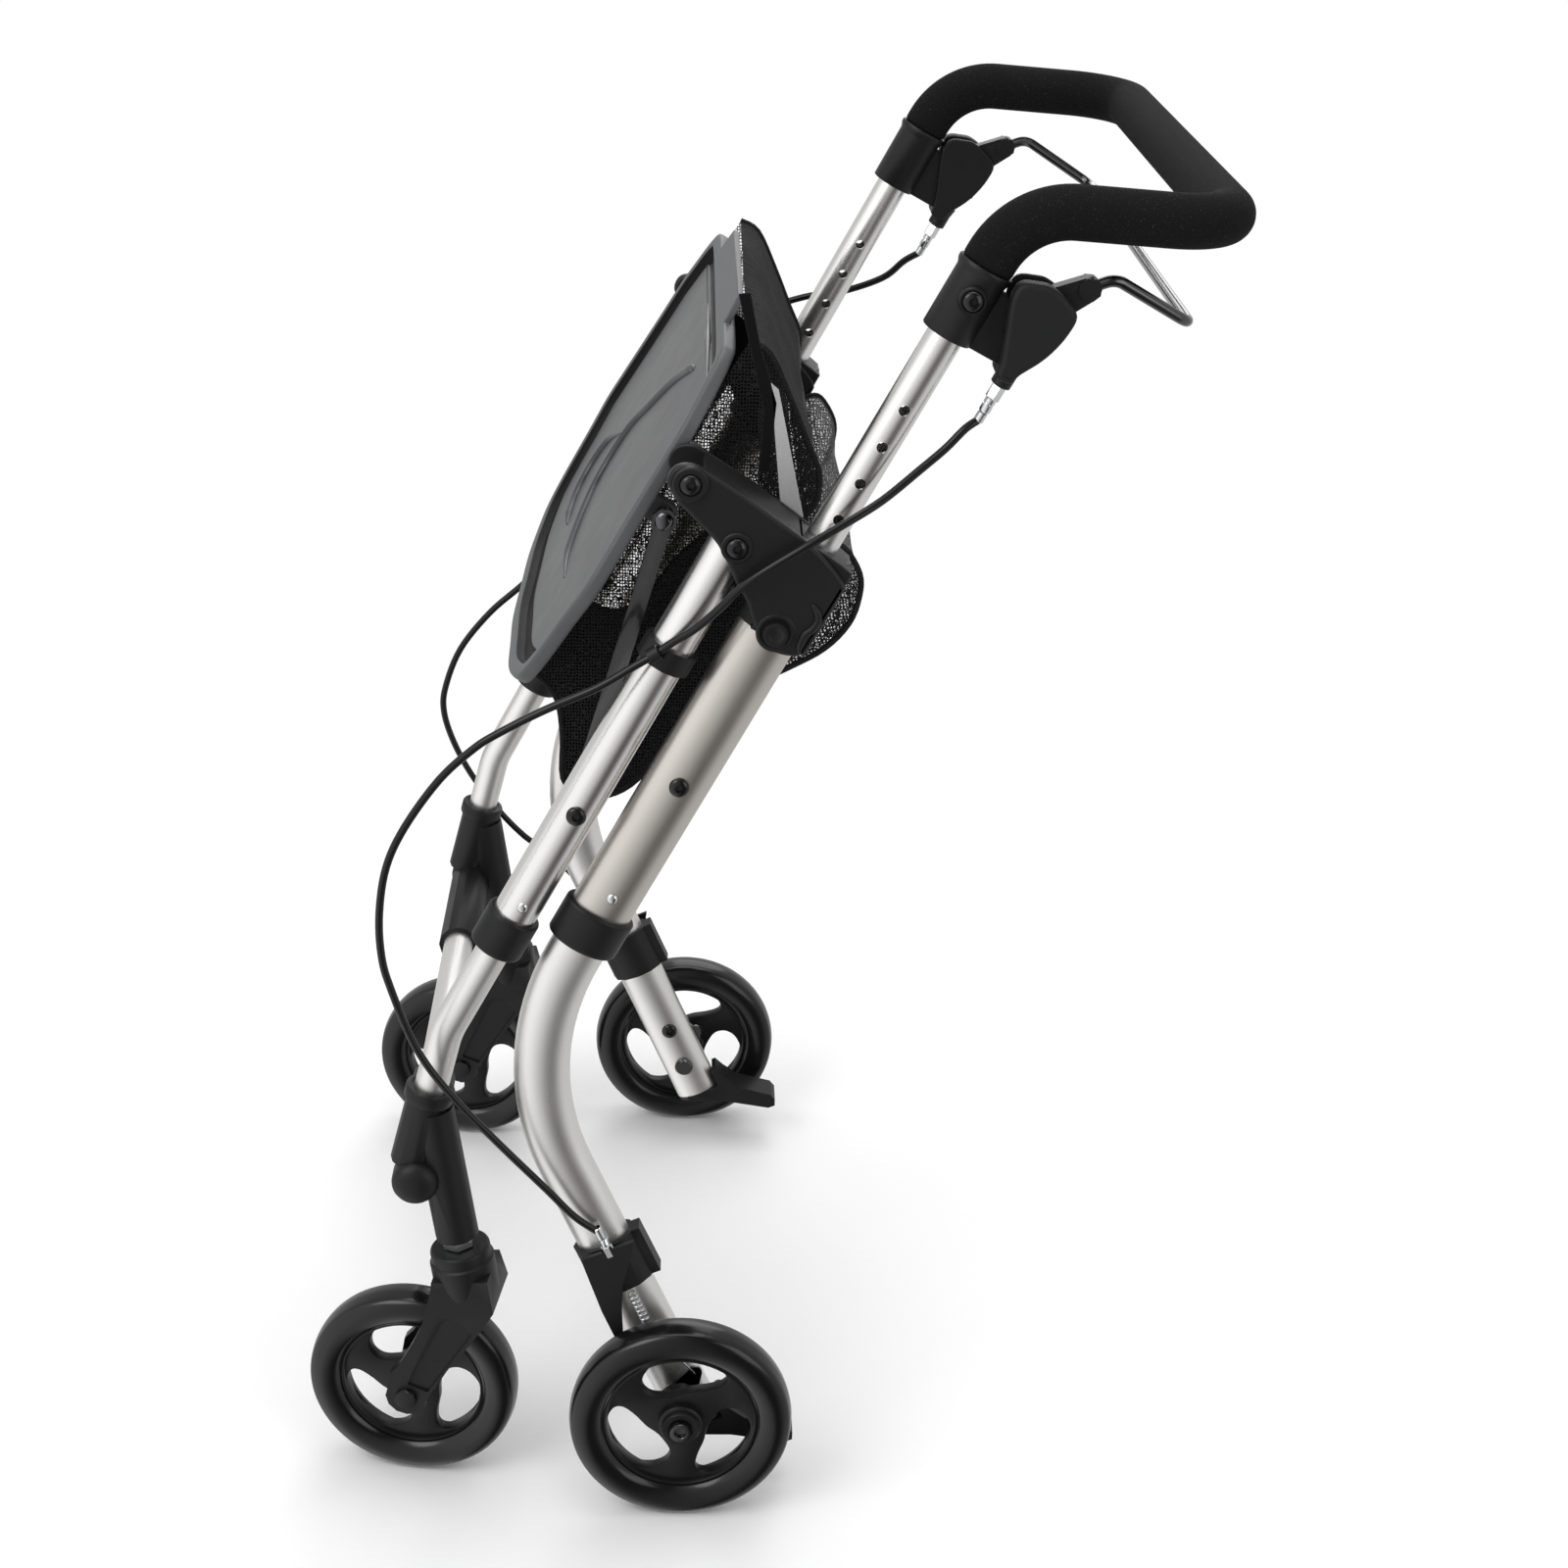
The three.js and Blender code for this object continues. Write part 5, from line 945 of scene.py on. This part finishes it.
# %% Brake cables
ROUTES = {
    "left": [
        (223.5, 148.7, 760.1), (226.5, 137.8, 748.9), (230.5, 123.9, 737.2), (238, 101.5, 719.5),
        (246.5, 78.8, 706.7), (252.5, 56.3, 694), (252.5, 34.1, 679.1), (250.5, 20.2, 667.1),
        (247, 7.5, 652), (243.5, -5.4, 638.6), (240.8, -17.4, 629.4), (239.5, -28.8, 620.2),
        (239.5, -40.3, 612.7), (240, -62.9, 598), (240, -94.5, 582.5), (240, -121.5, 567),
        (240, -137, 556), (240, -157.8, 535), (240, -179.1, 502.9), (240, -191, 475.3),
        (240, -195.9, 444), (240.3, -195.4, 415.4), (241, -190.3, 392.2), (243, -174.3, 349.1),
        (244, -152.9, 316.3), (243, -123.8, 281), (240.5, -92, 244), (238.8, -73.5, 222),
    ],
    "right": [
        (225, 146, 757.5), (230, 131.5, 743.5), (238, 103, 730.5), (247, 74, 722.8),
        (251.5, 52, 711.1), (252, 28, 679), (248, 6, 647), (241.5, -14, 632.5),
        (239.5, -28.8, 620.2), (239.5, -39, 610.5), (239.8, -52, 594.5), (240, -74, 561),
        (240, -104, 524), (240, -135.8, 490.5), (240, -162.7, 465.1), (240, -186.1, 433.8),
        (240, -198.2, 401.6), (240, -200, 380.4), (240.5, -193.2, 355), (242.5, -179.4, 325.1),
        (244.5, -157.7, 292.4), (243.5, -135.8, 269.1), (242, -115.8, 255.1), (239, -84.3, 226.2),
    ],
}
CABLE_RADIUS = 2.5
for name, side in SIDES.items():
    ends = [on_line(113.0, NOSE_ACROSS), on_line(108.0, NOSE_ACROSS)]
    feet = [on_leg(145.6, 3.4, 237.2), on_leg(140.6, 3.4, 237.2)]
    line = [ends[0]] + smooth_line([ends[1]] + flat(ROUTES[name]) + [feet[0]], 6) + [feet[1]]
    section = oval(CABLE_RADIUS, CABLE_RADIUS, 18)
    drawn(f"brake_cable_{name}", line, section, 0, sheath, "rear_frame", side, "cable")
    length = sum((b - a).length for a, b in zip(line, line[1:]))
    print("cable", name, "length", round(length), "mm")
    bm = bmesh.new()
    for end, before, long in ((line[0], line[1], 6), (line[-1], line[-2], 9)):
        ferrule = [(2.6, -long), (3.0, 0.4 - long), (3.0, -0.2), (0, -0.2)]
        lathe(bm, ferrule, 24, end, (end - before).normalized(), OUTWARD)
    show(bm, f"cable_ferrules_{name}", zinc, "rear_frame", side, ())

# %% [markdown]
# ## Wheels
# A polished tyre is bonded to a moulded centre with three swept spokes. The windows between the
# spokes are cut right through, with a small rounding on both faces. The hub stands proud and
# holds the bolt.

# %% Wheels
WINDOW = [
    (0.533, 0), (0.613, 0.025), (0.655, 0.13), (0.667, 0.32), (0.65, 0.53), (0.593, 0.65),
    (0.507, 0.733), (0.413, 0.762), (0.333, 0.725), (0.267, 0.55), (0.264, 0.4), (0.32, 0.225),
    (0.413, 0.067),
]
TYRE = [
    (0.693, -0.3), (0.747, -0.43), (0.86, -0.5), (0.97, -0.38), (1, -0.12), (1, 0.12),
    (0.97, 0.38), (0.86, 0.5), (0.747, 0.43), (0.693, 0.3),
]
WHEEL_WIDTH = 28
WINDOW_START = math.radians(46)
WEB_HALF = 4.5
RIM_SHARE = 0.705


def wheel_parts(radius, outer_hub, inner_hub, inner_radius):
    """The tyre and the moulded centre, turned about X."""
    tyre = bmesh.new()
    profile = smooth_line(flat([(r * radius, x * WHEEL_WIDTH) for r, x in TYRE]), 5)
    lathe(tyre, [(p.x, p.y) for p in profile + profile[:1]], 128, Vector(), OUTWARD)
    centre = bmesh.new()
    half = WEB_HALF
    windows = []
    for i in range(3):
        start = WINDOW_START + i * TURN / 3
        points = []
        for r, turn in WINDOW:
            angle = start + turn * TURN / 3
            points.append(Vector((r * radius * math.cos(angle), r * radius * math.sin(angle))))
        windows.append(smooth_line(points, 4, closed=True))
    for x in (-half, half):
        rim = [(radius * RIM_SHARE * a, radius * RIM_SHARE * b) for a, b in oval(1, 1, 96)]
        loops = [[centre.verts.new((x, y, z)) for y, z in rim]]
        for window in windows:
            wide = drawn_in(window, -1.3)
            loops.append([centre.verts.new((x, p.x, p.y)) for p in wide])
        edges = []
        for loop in loops:
            edges += [centre.edges.new((loop[i - 1], loop[i])) for i in range(len(loop))]
        bmesh.ops.triangle_fill(
            centre, use_beauty=True, use_dissolve=False, edges=edges, normal=(1, 0, 0)
        )
    edge = [(-1.3, half), (-0.4, half - 0.4), (0, half - 1.3)]
    for window in windows:
        rings = []
        for grow, x in [(grow, -x) for grow, x in edge] + edge[::-1]:
            rings.append([centre.verts.new((x, p.x, p.y)) for p in drawn_in(window, grow)])
        skin(centre, rings)
    for rim_x in (-1, 1):
        ring = [(RIM_SHARE, 2.5), (0.70, 6.0), (0.69, 7.6), (0.672, 8.0), (0.664, 7.2), (0.66, 4.0)]
        lathe(centre, [(radius * r, x * rim_x) for r, x in ring], 128, Vector(), OUTWARD)
    hub = [(0, -inner_hub), (inner_radius - 1, -inner_hub), (inner_radius, 1 - inner_hub)]
    hub += [(inner_radius, 0), (15.0, 0)]
    hub += [(r, outer_hub * share) for r, share in ((15.0, 0.66), (14.2, 0.72), (12.9, 0.74))]
    crown = ((12.7, 1), (12.0, 0.1), (8.6, 0.1), (8.3, 0.9), (0, 0.9))
    hub += [(r, outer_hub - below) for r, below in crown]
    lathe(centre, hub, 64, Vector(), OUTWARD)
    return tyre, centre


REAR_WHEEL_X = 256.3
FRONT_WHEEL = 72
STEM = Vector((SIDE_X, -150.7, 186))
STEM_LEAN = math.radians(9)
TRAIL = 50.7
DROP = (STEM.z - FRONT_WHEEL - TRAIL * math.sin(STEM_LEAN)) / math.cos(STEM_LEAN)
CASTER_TURN = {"left": math.radians(-8.7), "right": math.radians(-7.3)}
STEM_PLACE = Matrix.Translation(STEM) @ Matrix.Rotation(STEM_LEAN, 4, "X")


def caster_place(name):
    """The frame of a caster as it stands turned in the photograph."""
    return STEM_PLACE @ Matrix.Rotation(SIDES[name] * CASTER_TURN[name], 4, "Z")


for name, side in SIDES.items():
    rear = Matrix.Translation((REAR_WHEEL_X, 0, WHEEL_RADIUS))
    front = caster_place(name) @ Matrix.Translation((0, -TRAIL, -DROP))
    places = {
        "rear": (rear, WHEEL_RADIUS, 15, 15.3, 16.4),
        "front": (front, FRONT_WHEEL, 15.3, 15.3, 15),
    }
    for end, (home, radius, outer_hub, inner_hub, inner_radius) in places.items():
        tyre, centre = wheel_parts(radius, outer_hub, inner_hub, inner_radius)
        body = f"{end}_wheel_{name}"
        show(tyre, body + "_tyre", tyre_black, body, side, [body], 60, home)
        show(centre, body + "_centre", spoke_black, body, side, (), 38, home)
        low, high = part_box(body)
        there = home.translation * MM
        there = Vector((side * there.x, there.y + SHIFT * MM, there.z))
        off = (there - (low + high) / 2).length / MM
        print(body, "centre off by", round(off, 2), "mm")

# %% [markdown]
# ## Bolts of the wheels
# The rear axle is a bolt through the leg with a low round head; its hexagon socket is drawn as a
# round one. The same heads close the front axles.

# %% Bolts of the wheels
BOLT = 3.7
HEAD = [(7.6, 0), (7.6, 2.2), (7.0, 3.4), (6.0, 3.6), (4.2, 3.6), (3.8, 3.2), (3.7, 1.2), (0, 1.0)]
for name, side in SIDES.items():
    bm = bmesh.new()
    inner = SIDE_X - LEG_HALF[0] - 0.3
    outer = REAR_WHEEL_X + 15.3
    axle = [(0, -3.6), (6.2, -3.6), (7.6, -1.8), (7.6, 0), (BOLT, 0), (BOLT, 25.3)]
    axle += [(6.4, 25.3), (6.4, 32.6), (BOLT, 32.6), (BOLT, outer - inner)]
    lathe(bm, axle, 32, Vector((inner, 0, WHEEL_RADIUS)), OUTWARD)
    lathe(bm, [(BOLT, 0)] + HEAD, 36, Vector((outer, 0, WHEEL_RADIUS)), OUTWARD)
    stand(bm, f"rear_axle_{name}", black_chrome, "rear_frame", side, 45)
    bm = bmesh.new()
    stem = [(0, -30), (6, -30), (6, 59), (5.4, 60.4), (0, 60.4)]
    nut = [(6, 0.3), (9.8, 0.3), (11, 1.2), (11, 7.6), (9.8, 8.4), (6, 8.4)]
    lathe(bm, stem, 32, Vector(), UPWARD, OUTWARD)
    lathe(bm, nut, 6, Vector(), UPWARD, OUTWARD)
    stand(bm, f"caster_stem_{name}", zinc, "front_frame", side, 35, STEM_PLACE)
    caster = caster_place(name)
    bm = bmesh.new()
    for way in (1, -1):
        lathe(bm, HEAD, 36, Vector((way * 22.9, -TRAIL, -DROP)), OUTWARD * way)
    show(bm, f"front_bolts_{name}", black_chrome, f"caster_{name}", side, (), 45, caster)
    bm = bmesh.new()
    head = [(0, 0.2), (18.8, 0.2), (19.8, -0.8), (20.2, -2), (20.2, -8.6), (21.0, -9.2)]
    head += [(21.7, -10), (21.7, -35), (21.0, -36.4), (0, -36.4)]
    lathe(bm, head, 56, Vector(), UPWARD, OUTWARD)
    show(bm, f"fork_head_{name}", black_plastic, f"caster_{name}", side, (), 40, caster)
print("bolts set")

# %% [markdown]
# ## Moulded and pressed fittings
# The fork, the caster bracket, the brake clamp, the tipping pedal and the small steel pieces
# keep the exact outlines of the frame. Their copies get the rounding that a mould or a press
# leaves on every edge. The fork's crown is sloped towards its head, and a dome and a ring
# finish the caster bracket.

# %% Moulded and pressed fittings
FITTINGS = [
    ("caster_fork", black_plastic, "black_plastic", 1.4),
    ("caster_bracket", black_plastic, "black_plastic", 1.2),
    ("brake_clamp", black_plastic, "black_plastic", 0.9),
    ("tip_pedal", black_plastic, "black_plastic", 1.6),
    ("brake_arm", black_chrome, "black_steel", 0.4),
    ("tray_link", black_chrome, "black_steel", 0.7),
    ("lower_adjuster", zinc, "zinc", 0.35),
    ("cable_clip", black_plastic, "black_plastic", 0.6),
]
SOCKET_END = 236
SLEEVE_TOP = Vector((SIDE_X, -167.7, 308.6))
LEG_RUN = Vector((0, 0.2351, 0.972))
FORK_TRIMS = [
    ((0, 20.2, -17), (0, 19, 1.2)),
    ((23, 0, -40), (23, 0, 4)),
    ((-23, 0, -40), (-23, 0, 4)),
]


def fork_trims(name):
    """The planes that slope the fork's crown towards its head, as points and directions."""
    caster = caster_place(name)
    mirror = Vector((SIDES[name], 1, 1))
    planes = []
    for spot, away in FORK_TRIMS:
        spot = caster @ Vector(spot) + Vector((0, SHIFT, 0))
        planes.append((spot * mirror * MM, caster.to_3x3() @ Vector(away) * mirror))
    return planes


for part, material, slot, width in FITTINGS:
    for name in SIDES:
        trim = fork_trims(name) if part == "caster_fork" else ()
        soften(f"{part}_{name}", material, width, 50, trim)
for name, side in SIDES.items():
    bm = bmesh.new()
    dome = [(15.5, -14), (15.5, -3), (15.1, -0.6), (13.6, 2.2), (11, 4.4), (7, 6), (0, 6.6)]
    lathe(bm, dome, 56, Vector((SOCKET_END, CROSS_Y, CROSS_Z)), OUTWARD)
    ring = [(14.4, -10), (15.7, -9.6), (16.2, -8.6), (16.2, -1.2), (15.6, -0.2), (14.6, 0)]
    ring.append((12.9, 0))
    lathe(bm, ring, 56, SLEEVE_TOP, LEG_RUN, OUTWARD)
    show(bm, f"bracket_moulding_{name}", black_plastic, "front_frame", side, (), 45)
print("fittings:", len(FITTINGS) * 2)

# %% [markdown]
# ## Return spring
# One wire, wound in close turns above and running on as a straight leg to the brake arm.

# %% Return spring
SPRING_X = 236.3
CURLS, CURL_STEPS, CURL_RADIUS = 7, 20, 2.5
for name, side in SIDES.items():
    points = [on_leg(93.2, 5.9, SPRING_X)]
    for i in range(CURLS * CURL_STEPS + 1):
        turn = TURN / 4 + i / CURL_STEPS * TURN
        up = 92 - 26 * i / (CURLS * CURL_STEPS)
        back = 3.4 + CURL_RADIUS * math.sin(turn)
        points.append(on_leg(up, back, SPRING_X + CURL_RADIUS * math.cos(turn)))
    points += [on_leg(up, back, SPRING_X) for up, back in ((64.8, 5.9), (40, 8.6), (14.4, 16.7))]
    wire = oval(0.6, 0.6, 10)
    drawn(f"brake_spring_{name}", points, wire, 0, zinc, "rear_frame", side, "zinc")
print("spring points:", len(points))

# %% [markdown]
# ## Tray
# A shallow moulded tray hangs in front, folded down along the frame. Its rim is rounded, a
# channel runs round the darker floor, and a black strip laid in it is painted shade for the deep
# channel. Three curved lines are raised on the floor, and a flat tab at the top is there for the hand.

# %% Tray
TRAY_LOW = [
    (0, -1), (0.274, -0.981), (0.507, -0.962), (0.656, -0.925), (0.79, -0.873), (0.856, -0.808),
    (0.9, -0.723), (0.945, -0.592), (1, -0.46), (0.985, -0.338), (0.965, -0.235), (0.945, -0.117),
    (0.93, 0),
]
TRAY_HIGH = [(0.918, 0.24), (0.875, 0.5), (0.828, 0.76), (0.77, 0.94), (0.68, 1)]
TRAY_HALF, TRAY_BELOW, TRAY_ABOVE = 212, 213, 62
right = [(x * TRAY_HALF, z * TRAY_BELOW) for x, z in TRAY_LOW]
right += [(x * TRAY_HALF, z * TRAY_ABOVE) for x, z in TRAY_HIGH] + [(60, 62.6)]
tray_outline = smooth_line(flat(right + [(-x, z) for x, z in right[:0:-1]]), 5, closed=True)


def tray_place(x, up, back):
    return on_tray(back, up, x)


def tray_skin(bm, section, closed):
    """A skin that follows the tray's outline at each (inward, back) of a section."""
    rings = []
    for inward, back in section:
        drawn_ring = drawn_in(tray_outline, inward)
        rings.append([bm.verts.new(tray_place(p.x, p.y, back)) for p in drawn_ring])
    skin(bm, rings)
    if closed:
        bm.faces.new(rings[-1])


def half_round(radius, back=0.0, up=0.0):
    """The outline of a plate that ends in a half circle."""
    arc = [i * math.pi / 12 for i in range(13)]
    round_end = [(back + radius * math.sin(a), up + radius * math.cos(a)) for a in arc]
    return flat([(-6, up + radius)] + round_end + [(-6, up - radius)])


RIM = [
    (13, -5.6), (3, -5.5), (1.2, -5.7), (0.2, -6.6), (0, -8), (0, -12), (0.3, -13.4),
    (1.2, -14.3), (2.6, -14.6), (8.6, -14.6), (10, -14.3), (10.8, -13.4), (11, -12.6),
    (11.2, -8.4), (12.2, -7.8), (20.6, -7.8), (21.6, -8.4), (22, -9.0), (22.4, -9.4),
    (23.4, -9.6), (28, -9.6),
]
UNDERSIDE = [(13, -5.6), (20, -6.4), (22, -8.2)]
CHANNEL_SHADE = [
    (10.7, -13.9), (11.25, -12.4), (11.5, -8.7), (12.3, -8.1), (20.8, -8.1), (21.6, -8.9),
    (22.2, -9.7),
]
FLOOR = [(22.6, -9.4), (23.2, -9.9), (25, -10.1)]
bm = bmesh.new()
tray_skin(bm, RIM, True)
tray_skin(bm, UNDERSIDE, True)
tab = [(104, 55), (104, 62), (102, 67), (95, 79.2)]
tab = flat([(-104, 55)] + tab + [(-x, z) for x, z in tab[:0:-1]])
plate(bm, tab, -14.5, -10, 1.0, tray_place)
EAR = (half_round(9), 188, 196)
LUG = (half_round(8, 5.9, -39.9), 180, 189)
for side in (1, -1):
    for shape, low, high in (EAR, LUG):
        plate(bm, shape, low, high, 1.0, lambda b, u, x, s=side: on_tray(b, u, x * s))
stand(bm, "tray", tray_grey, "tray", 1, 45)
# a black strip over the channel's inner wall and bottom: painted shade for the deep channel, not a part
# of the tray
bm = bmesh.new()
tray_skin(bm, CHANNEL_SHADE, False)
show(bm, "tray_channel_shade", channel_shade_black, "tray", 1, (), 60)
LINES = [
    [(-36, 38), (67, 36.5), (154, 34)],
    [(74.6, 19.4), (62, 16), (27.4, -4), (-8, -34), (-40.1, -67), (-32, -112), (28.1, -140.2)]
    + [(81.4, -141.6)],
    [(-67.5, -78.9), (-100, -96), (-108.9, -118), (-96, -140), (-67.8, -148.9), (-48.4, -149.8)],
]
bm = bmesh.new()
tray_skin(bm, FLOOR, True)
for line in LINES:
    run = [on_tray(-9.9, p.y, p.x) for p in smooth_line(flat(line), 8)]
    swell = [0.2 + 0.8 * min(1.0, i / 8, (len(run) - 1 - i) / 8) for i in range(len(run))]
    tube(bm, run, oval(3.4, 3.4, 16), 0, swell)
show(bm, "tray_floor", floor_grey, "tray", 1, (), 50)
print("tray outline points:", len(tray_outline))

# %% [markdown]
# ## Shopping bag
# The bag hangs behind the tray from its rim. A strip of knit makes its back and its base, and a
# net panel closes each side. The bar between the brackets presses a fold into it, and below
# that the net swells out to the rear. Piping is sewn on the seams of the sides, and two flat
# straps run down beside the left one.

# %% Shopping bag
BAG_HALF = 172
SIDE_HALF = BAG_HALF - 1
BAG = [
    (-4.6, 74), (10, 74), (34, 58), (58, 40), (74, 28), (82, 14), (83, 2), (78, -7), (75, -20),
    (77, -33), (86, -40), (97, -39), (101, -32), (102, -18), (106, -9), (114, -5), (131, -14),
    (139, -27), (143, -45), (139, -67), (126, -91), (101, -132), (89, -168), (86, -204), (76, -224),
    (60, -232), (45, -229), (30, -204), (14, -184), (-4.6, -176),
]
edge = smooth_line(flat(BAG), 4)
edge = [p for p in edge if p.x > -4.7]
bm = bmesh.new()
rings = []
across = 40
for k in range(across + 1):
    share = k / across * 2 - 1
    sag = 1 - share * share
    ring = []
    for i, p in enumerate(edge):
        ripple = math.sin(i * 0.55 + share * 5) * 0.9 + math.sin(i * 0.23 - share * 9) * 0.8
        inward = (3.0 + ripple) * sag
        away = Vector((p.x - 45, p.y + 90)).normalized()
        at = Vector((p.x - away.x * inward, p.y - away.y * inward))
        ring.append(bm.verts.new(on_tray(at.x, at.y, share * SIDE_HALF)))
    rings.append(ring)
skin(bm, rings, closed=False)
wrap = show(bm, "bag_wrap", knitted, "tray", 1, ["bag"], 80)
wrap.data.materials.append(netting)
netted = 0
middle = on_tray(0, 0, 0) * MM + Vector((0, SHIFT * MM, 0))
for face in wrap.data.polygons:
    away = face.center - middle
    back = away.y * math.cos(TRAY_LEAN) - away.z * math.sin(TRAY_LEAN)
    up = away.y * math.sin(TRAY_LEAN) + away.z * math.cos(TRAY_LEAN)
    if back > 0.070 and -0.095 < up < 0.030:
        face.material_index = 1
        netted += 1
print("net faces of the strip:", netted)


def bag_side(name, side):
    """A net panel that fills the outline of the bag and swells a little outward."""
    bm = bmesh.new()
    layer = bm.loops.layers.uv.new("run")
    centre = Vector((62, -80))
    rings = []
    for share in (1, 0.97, 0.9, 0.8, 0.68, 0.55, 0.4, 0.25, 0.1):
        ring = []
        for i, p in enumerate(edge):
            at = centre.lerp(p, share)
            wave = math.sin(i * 0.35 + share * 8) * 0.8
            out = (1 - share) * 3.0 * (1 + wave)
            ring.append(bm.verts.new(on_tray(at.x, at.y, SIDE_HALF - out)))
        rings.append(ring)
    faces = []
    for a, b in zip(rings, rings[1:]):
        for i in range(len(a)):
            k = (i + 1) % len(a)
            faces.append(bm.faces.new((a[i], a[k], b[k], b[i])))
    faces.append(bm.faces.new(rings[-1]))
    for face in faces:
        for loop in face.loops:
            loop[layer].uv = (loop.vert.co.y * MM, loop.vert.co.z * MM)
    return show(bm, f"bag_side_{name}", close_netting, "tray", side, (), 80)


turns = (edge[i - 1].x * p.y - p.x * edge[i - 1].y for i, p in enumerate(edge))
area = abs(sum(turns)) / 2 * MM * MM
for name, side in SIDES.items():
    panel = bag_side(name, side)
    bm = bmesh.new()
    tube(bm, [on_tray(p.x, p.y, BAG_HALF - 1.6) for p in edge], oval(1.9, 1.9, 10))
    show(bm, f"bag_piping_{name}", webbing_black, "tray", side, (), 60)
STRAP_X = BAG_HALF + 22
STRAP_THICK = 1.4
LIGHT = [(6.6, 776), (11.5, 772), (29.5, 694), (15.5, 700)]
DARK = [(-14, 828), (-7, 829), (0, 797), (11, 764), (8, 722), (2, 722), (3, 760), (-6, 796)]
STRAPS = [
    ("bag_strap_light", strap_grey, LIGHT),
    ("bag_strap_dark", webbing_black, DARK),
]
for title, cloth, spots in STRAPS:
    bm = bmesh.new()
    plate(bm, flat(spots), STRAP_X, STRAP_X + STRAP_THICK, 0.4, lambda y, z, x: Vector((x, y - SHIFT, z)))
    show(bm, title, cloth, "tray", 1, (), 50)

# %% [markdown]
# ## Camera, floor and light
# The photograph is a long-lens shot from the left, a little above the frame, on a white ground.
# Large soft lamps give the wide highlights on the tubes. The floor is white and fades out, so
# that only the soft shadow under the wheels is left of it.

# %% Camera, floor and light
LENS = 58.88
CAMERA_PLACE = (1.66614, -0.04703, 1.17632)
right_axis = Vector((0.03058, 0.99869, 0.04101))
up_axis = Vector((-0.40934, -0.02492, 0.91204))
back_axis = Vector((0.91187, -0.04468, 0.40804))
look = Matrix((right_axis, up_axis, back_axis)).transposed().to_4x4()
camera_data = bpy.data.cameras.new("camera")
camera_data.lens = LENS
camera_data.sensor_width = 36
camera = bpy.data.objects.new("camera", camera_data)
camera.matrix_world = Matrix.Translation(CAMERA_PLACE) @ look
bpy.context.scene.collection.objects.link(camera)
bpy.context.scene.camera = camera
bpy.context.scene.view_settings.view_transform = "Standard"

FADE_START, FADE_END, FLOOR_RADIUS = 0.45, 1.1, 1.4
g = Graph("floor")
here = g.place()
radial = g.node("ShaderNodeVectorMath", {"operation": "LENGTH"}, {0: here}, out="Value")
dust_and_glint_noise = g.noise(here, 9.0, 3.0)
cover = g.spread(radial, FADE_START, FADE_END, 1.0, 0.0)
floor_finish = g.surface(
    Base_Color=g.mix(dust_and_glint_noise, tone(0.93), tone(0.96)), Roughness=0.7, Alpha=cover
)
bm = bmesh.new()
bmesh.ops.create_circle(bm, cap_ends=True, segments=64, radius=FLOOR_RADIUS)
mesh = bpy.data.meshes.new("floor")
bm.to_mesh(mesh)
bm.free()
mesh.materials.append(floor_finish)
floor = bpy.data.objects.new("floor", mesh)
floor.location.z = cad_bounds[0].z
bpy.context.scene.collection.objects.link(floor)
floor.visible_glossy = False

world = bpy.data.worlds.new("studio")
bpy.context.scene.world = world


def lamp(name, place, aim, size, power):
    data = bpy.data.lights.new(name, "AREA")
    data.shape = "RECTANGLE"
    data.size, data.size_y = size
    data.energy = power
    made = bpy.data.objects.new(name, data)
    made.location = place
    made.rotation_euler = (Vector(aim) - Vector(place)).to_track_quat("-Z", "Y").to_euler()
    bpy.context.scene.collection.objects.link(made)


g = Graph("studio", world)
toward = g.node("ShaderNodeTexCoord", out="Generated")
east = g.node("ShaderNodeSeparateXYZ", None, {0: toward}, out="X")
north = g.node("ShaderNodeSeparateXYZ", None, {0: toward}, out="Y")
heading = g.math("ARCTAN2", north, east)
DARK_HEADING, BRIGHT_HEADING = 25, -62
off_band = g.math("ABSOLUTE", heading - math.radians(DARK_HEADING))
off_key = g.math("ABSOLUTE", heading + math.radians(-BRIGHT_HEADING))
banded = g.mix(g.spread(off_band, 0.16, 0.62), tone(0.06, (1.15, 1.0, 0.9)), tone(0.66, (1, 1, 1)))
glossy = g.mix(g.spread(off_key, 0.35, 0.85), tone(1.15), banded)
is_glossy = g.node("ShaderNodeLightPath", out="Is Glossy Ray")
is_camera = g.node("ShaderNodeLightPath", out="Is Camera Ray")
lit = g.mix(is_glossy, tone(0.62), glossy)
shown = g.mix(is_camera, lit, tone(1.0))
sky = g.node("ShaderNodeBackground", None, {"Color": shown, "Strength": 1.0})
g.node("ShaderNodeOutputWorld", None, {"Surface": sky})

LAMPS = {
    "key": ((1.5, -1.6, 2.3), (0, 0, 0.45), (1.5, 1.5), 26),
    "fill": ((1.9, 1.7, 1.1), (0, 0, 0.45), (1.2, 1.8), 12),
    "top": ((-0.2, 0.1, 2.8), (0, 0, 0.3), (1.8, 1.8), 26),
    "rear": ((-1.8, 0.3, 1.6), (0, 0, 0.5), (1.4, 1.4), 10),
}
for name, (place, aim, size, power) in LAMPS.items():
    lamp(name, place, aim, size, power)
print("camera at", [round(v, 3) for v in camera.location])

# %% [markdown]
# ## Size
# The frame's own size is read once, before any piece is built, and its lowest point sets the
# height of the floor.

# %% Size
print("frame size read before the build")
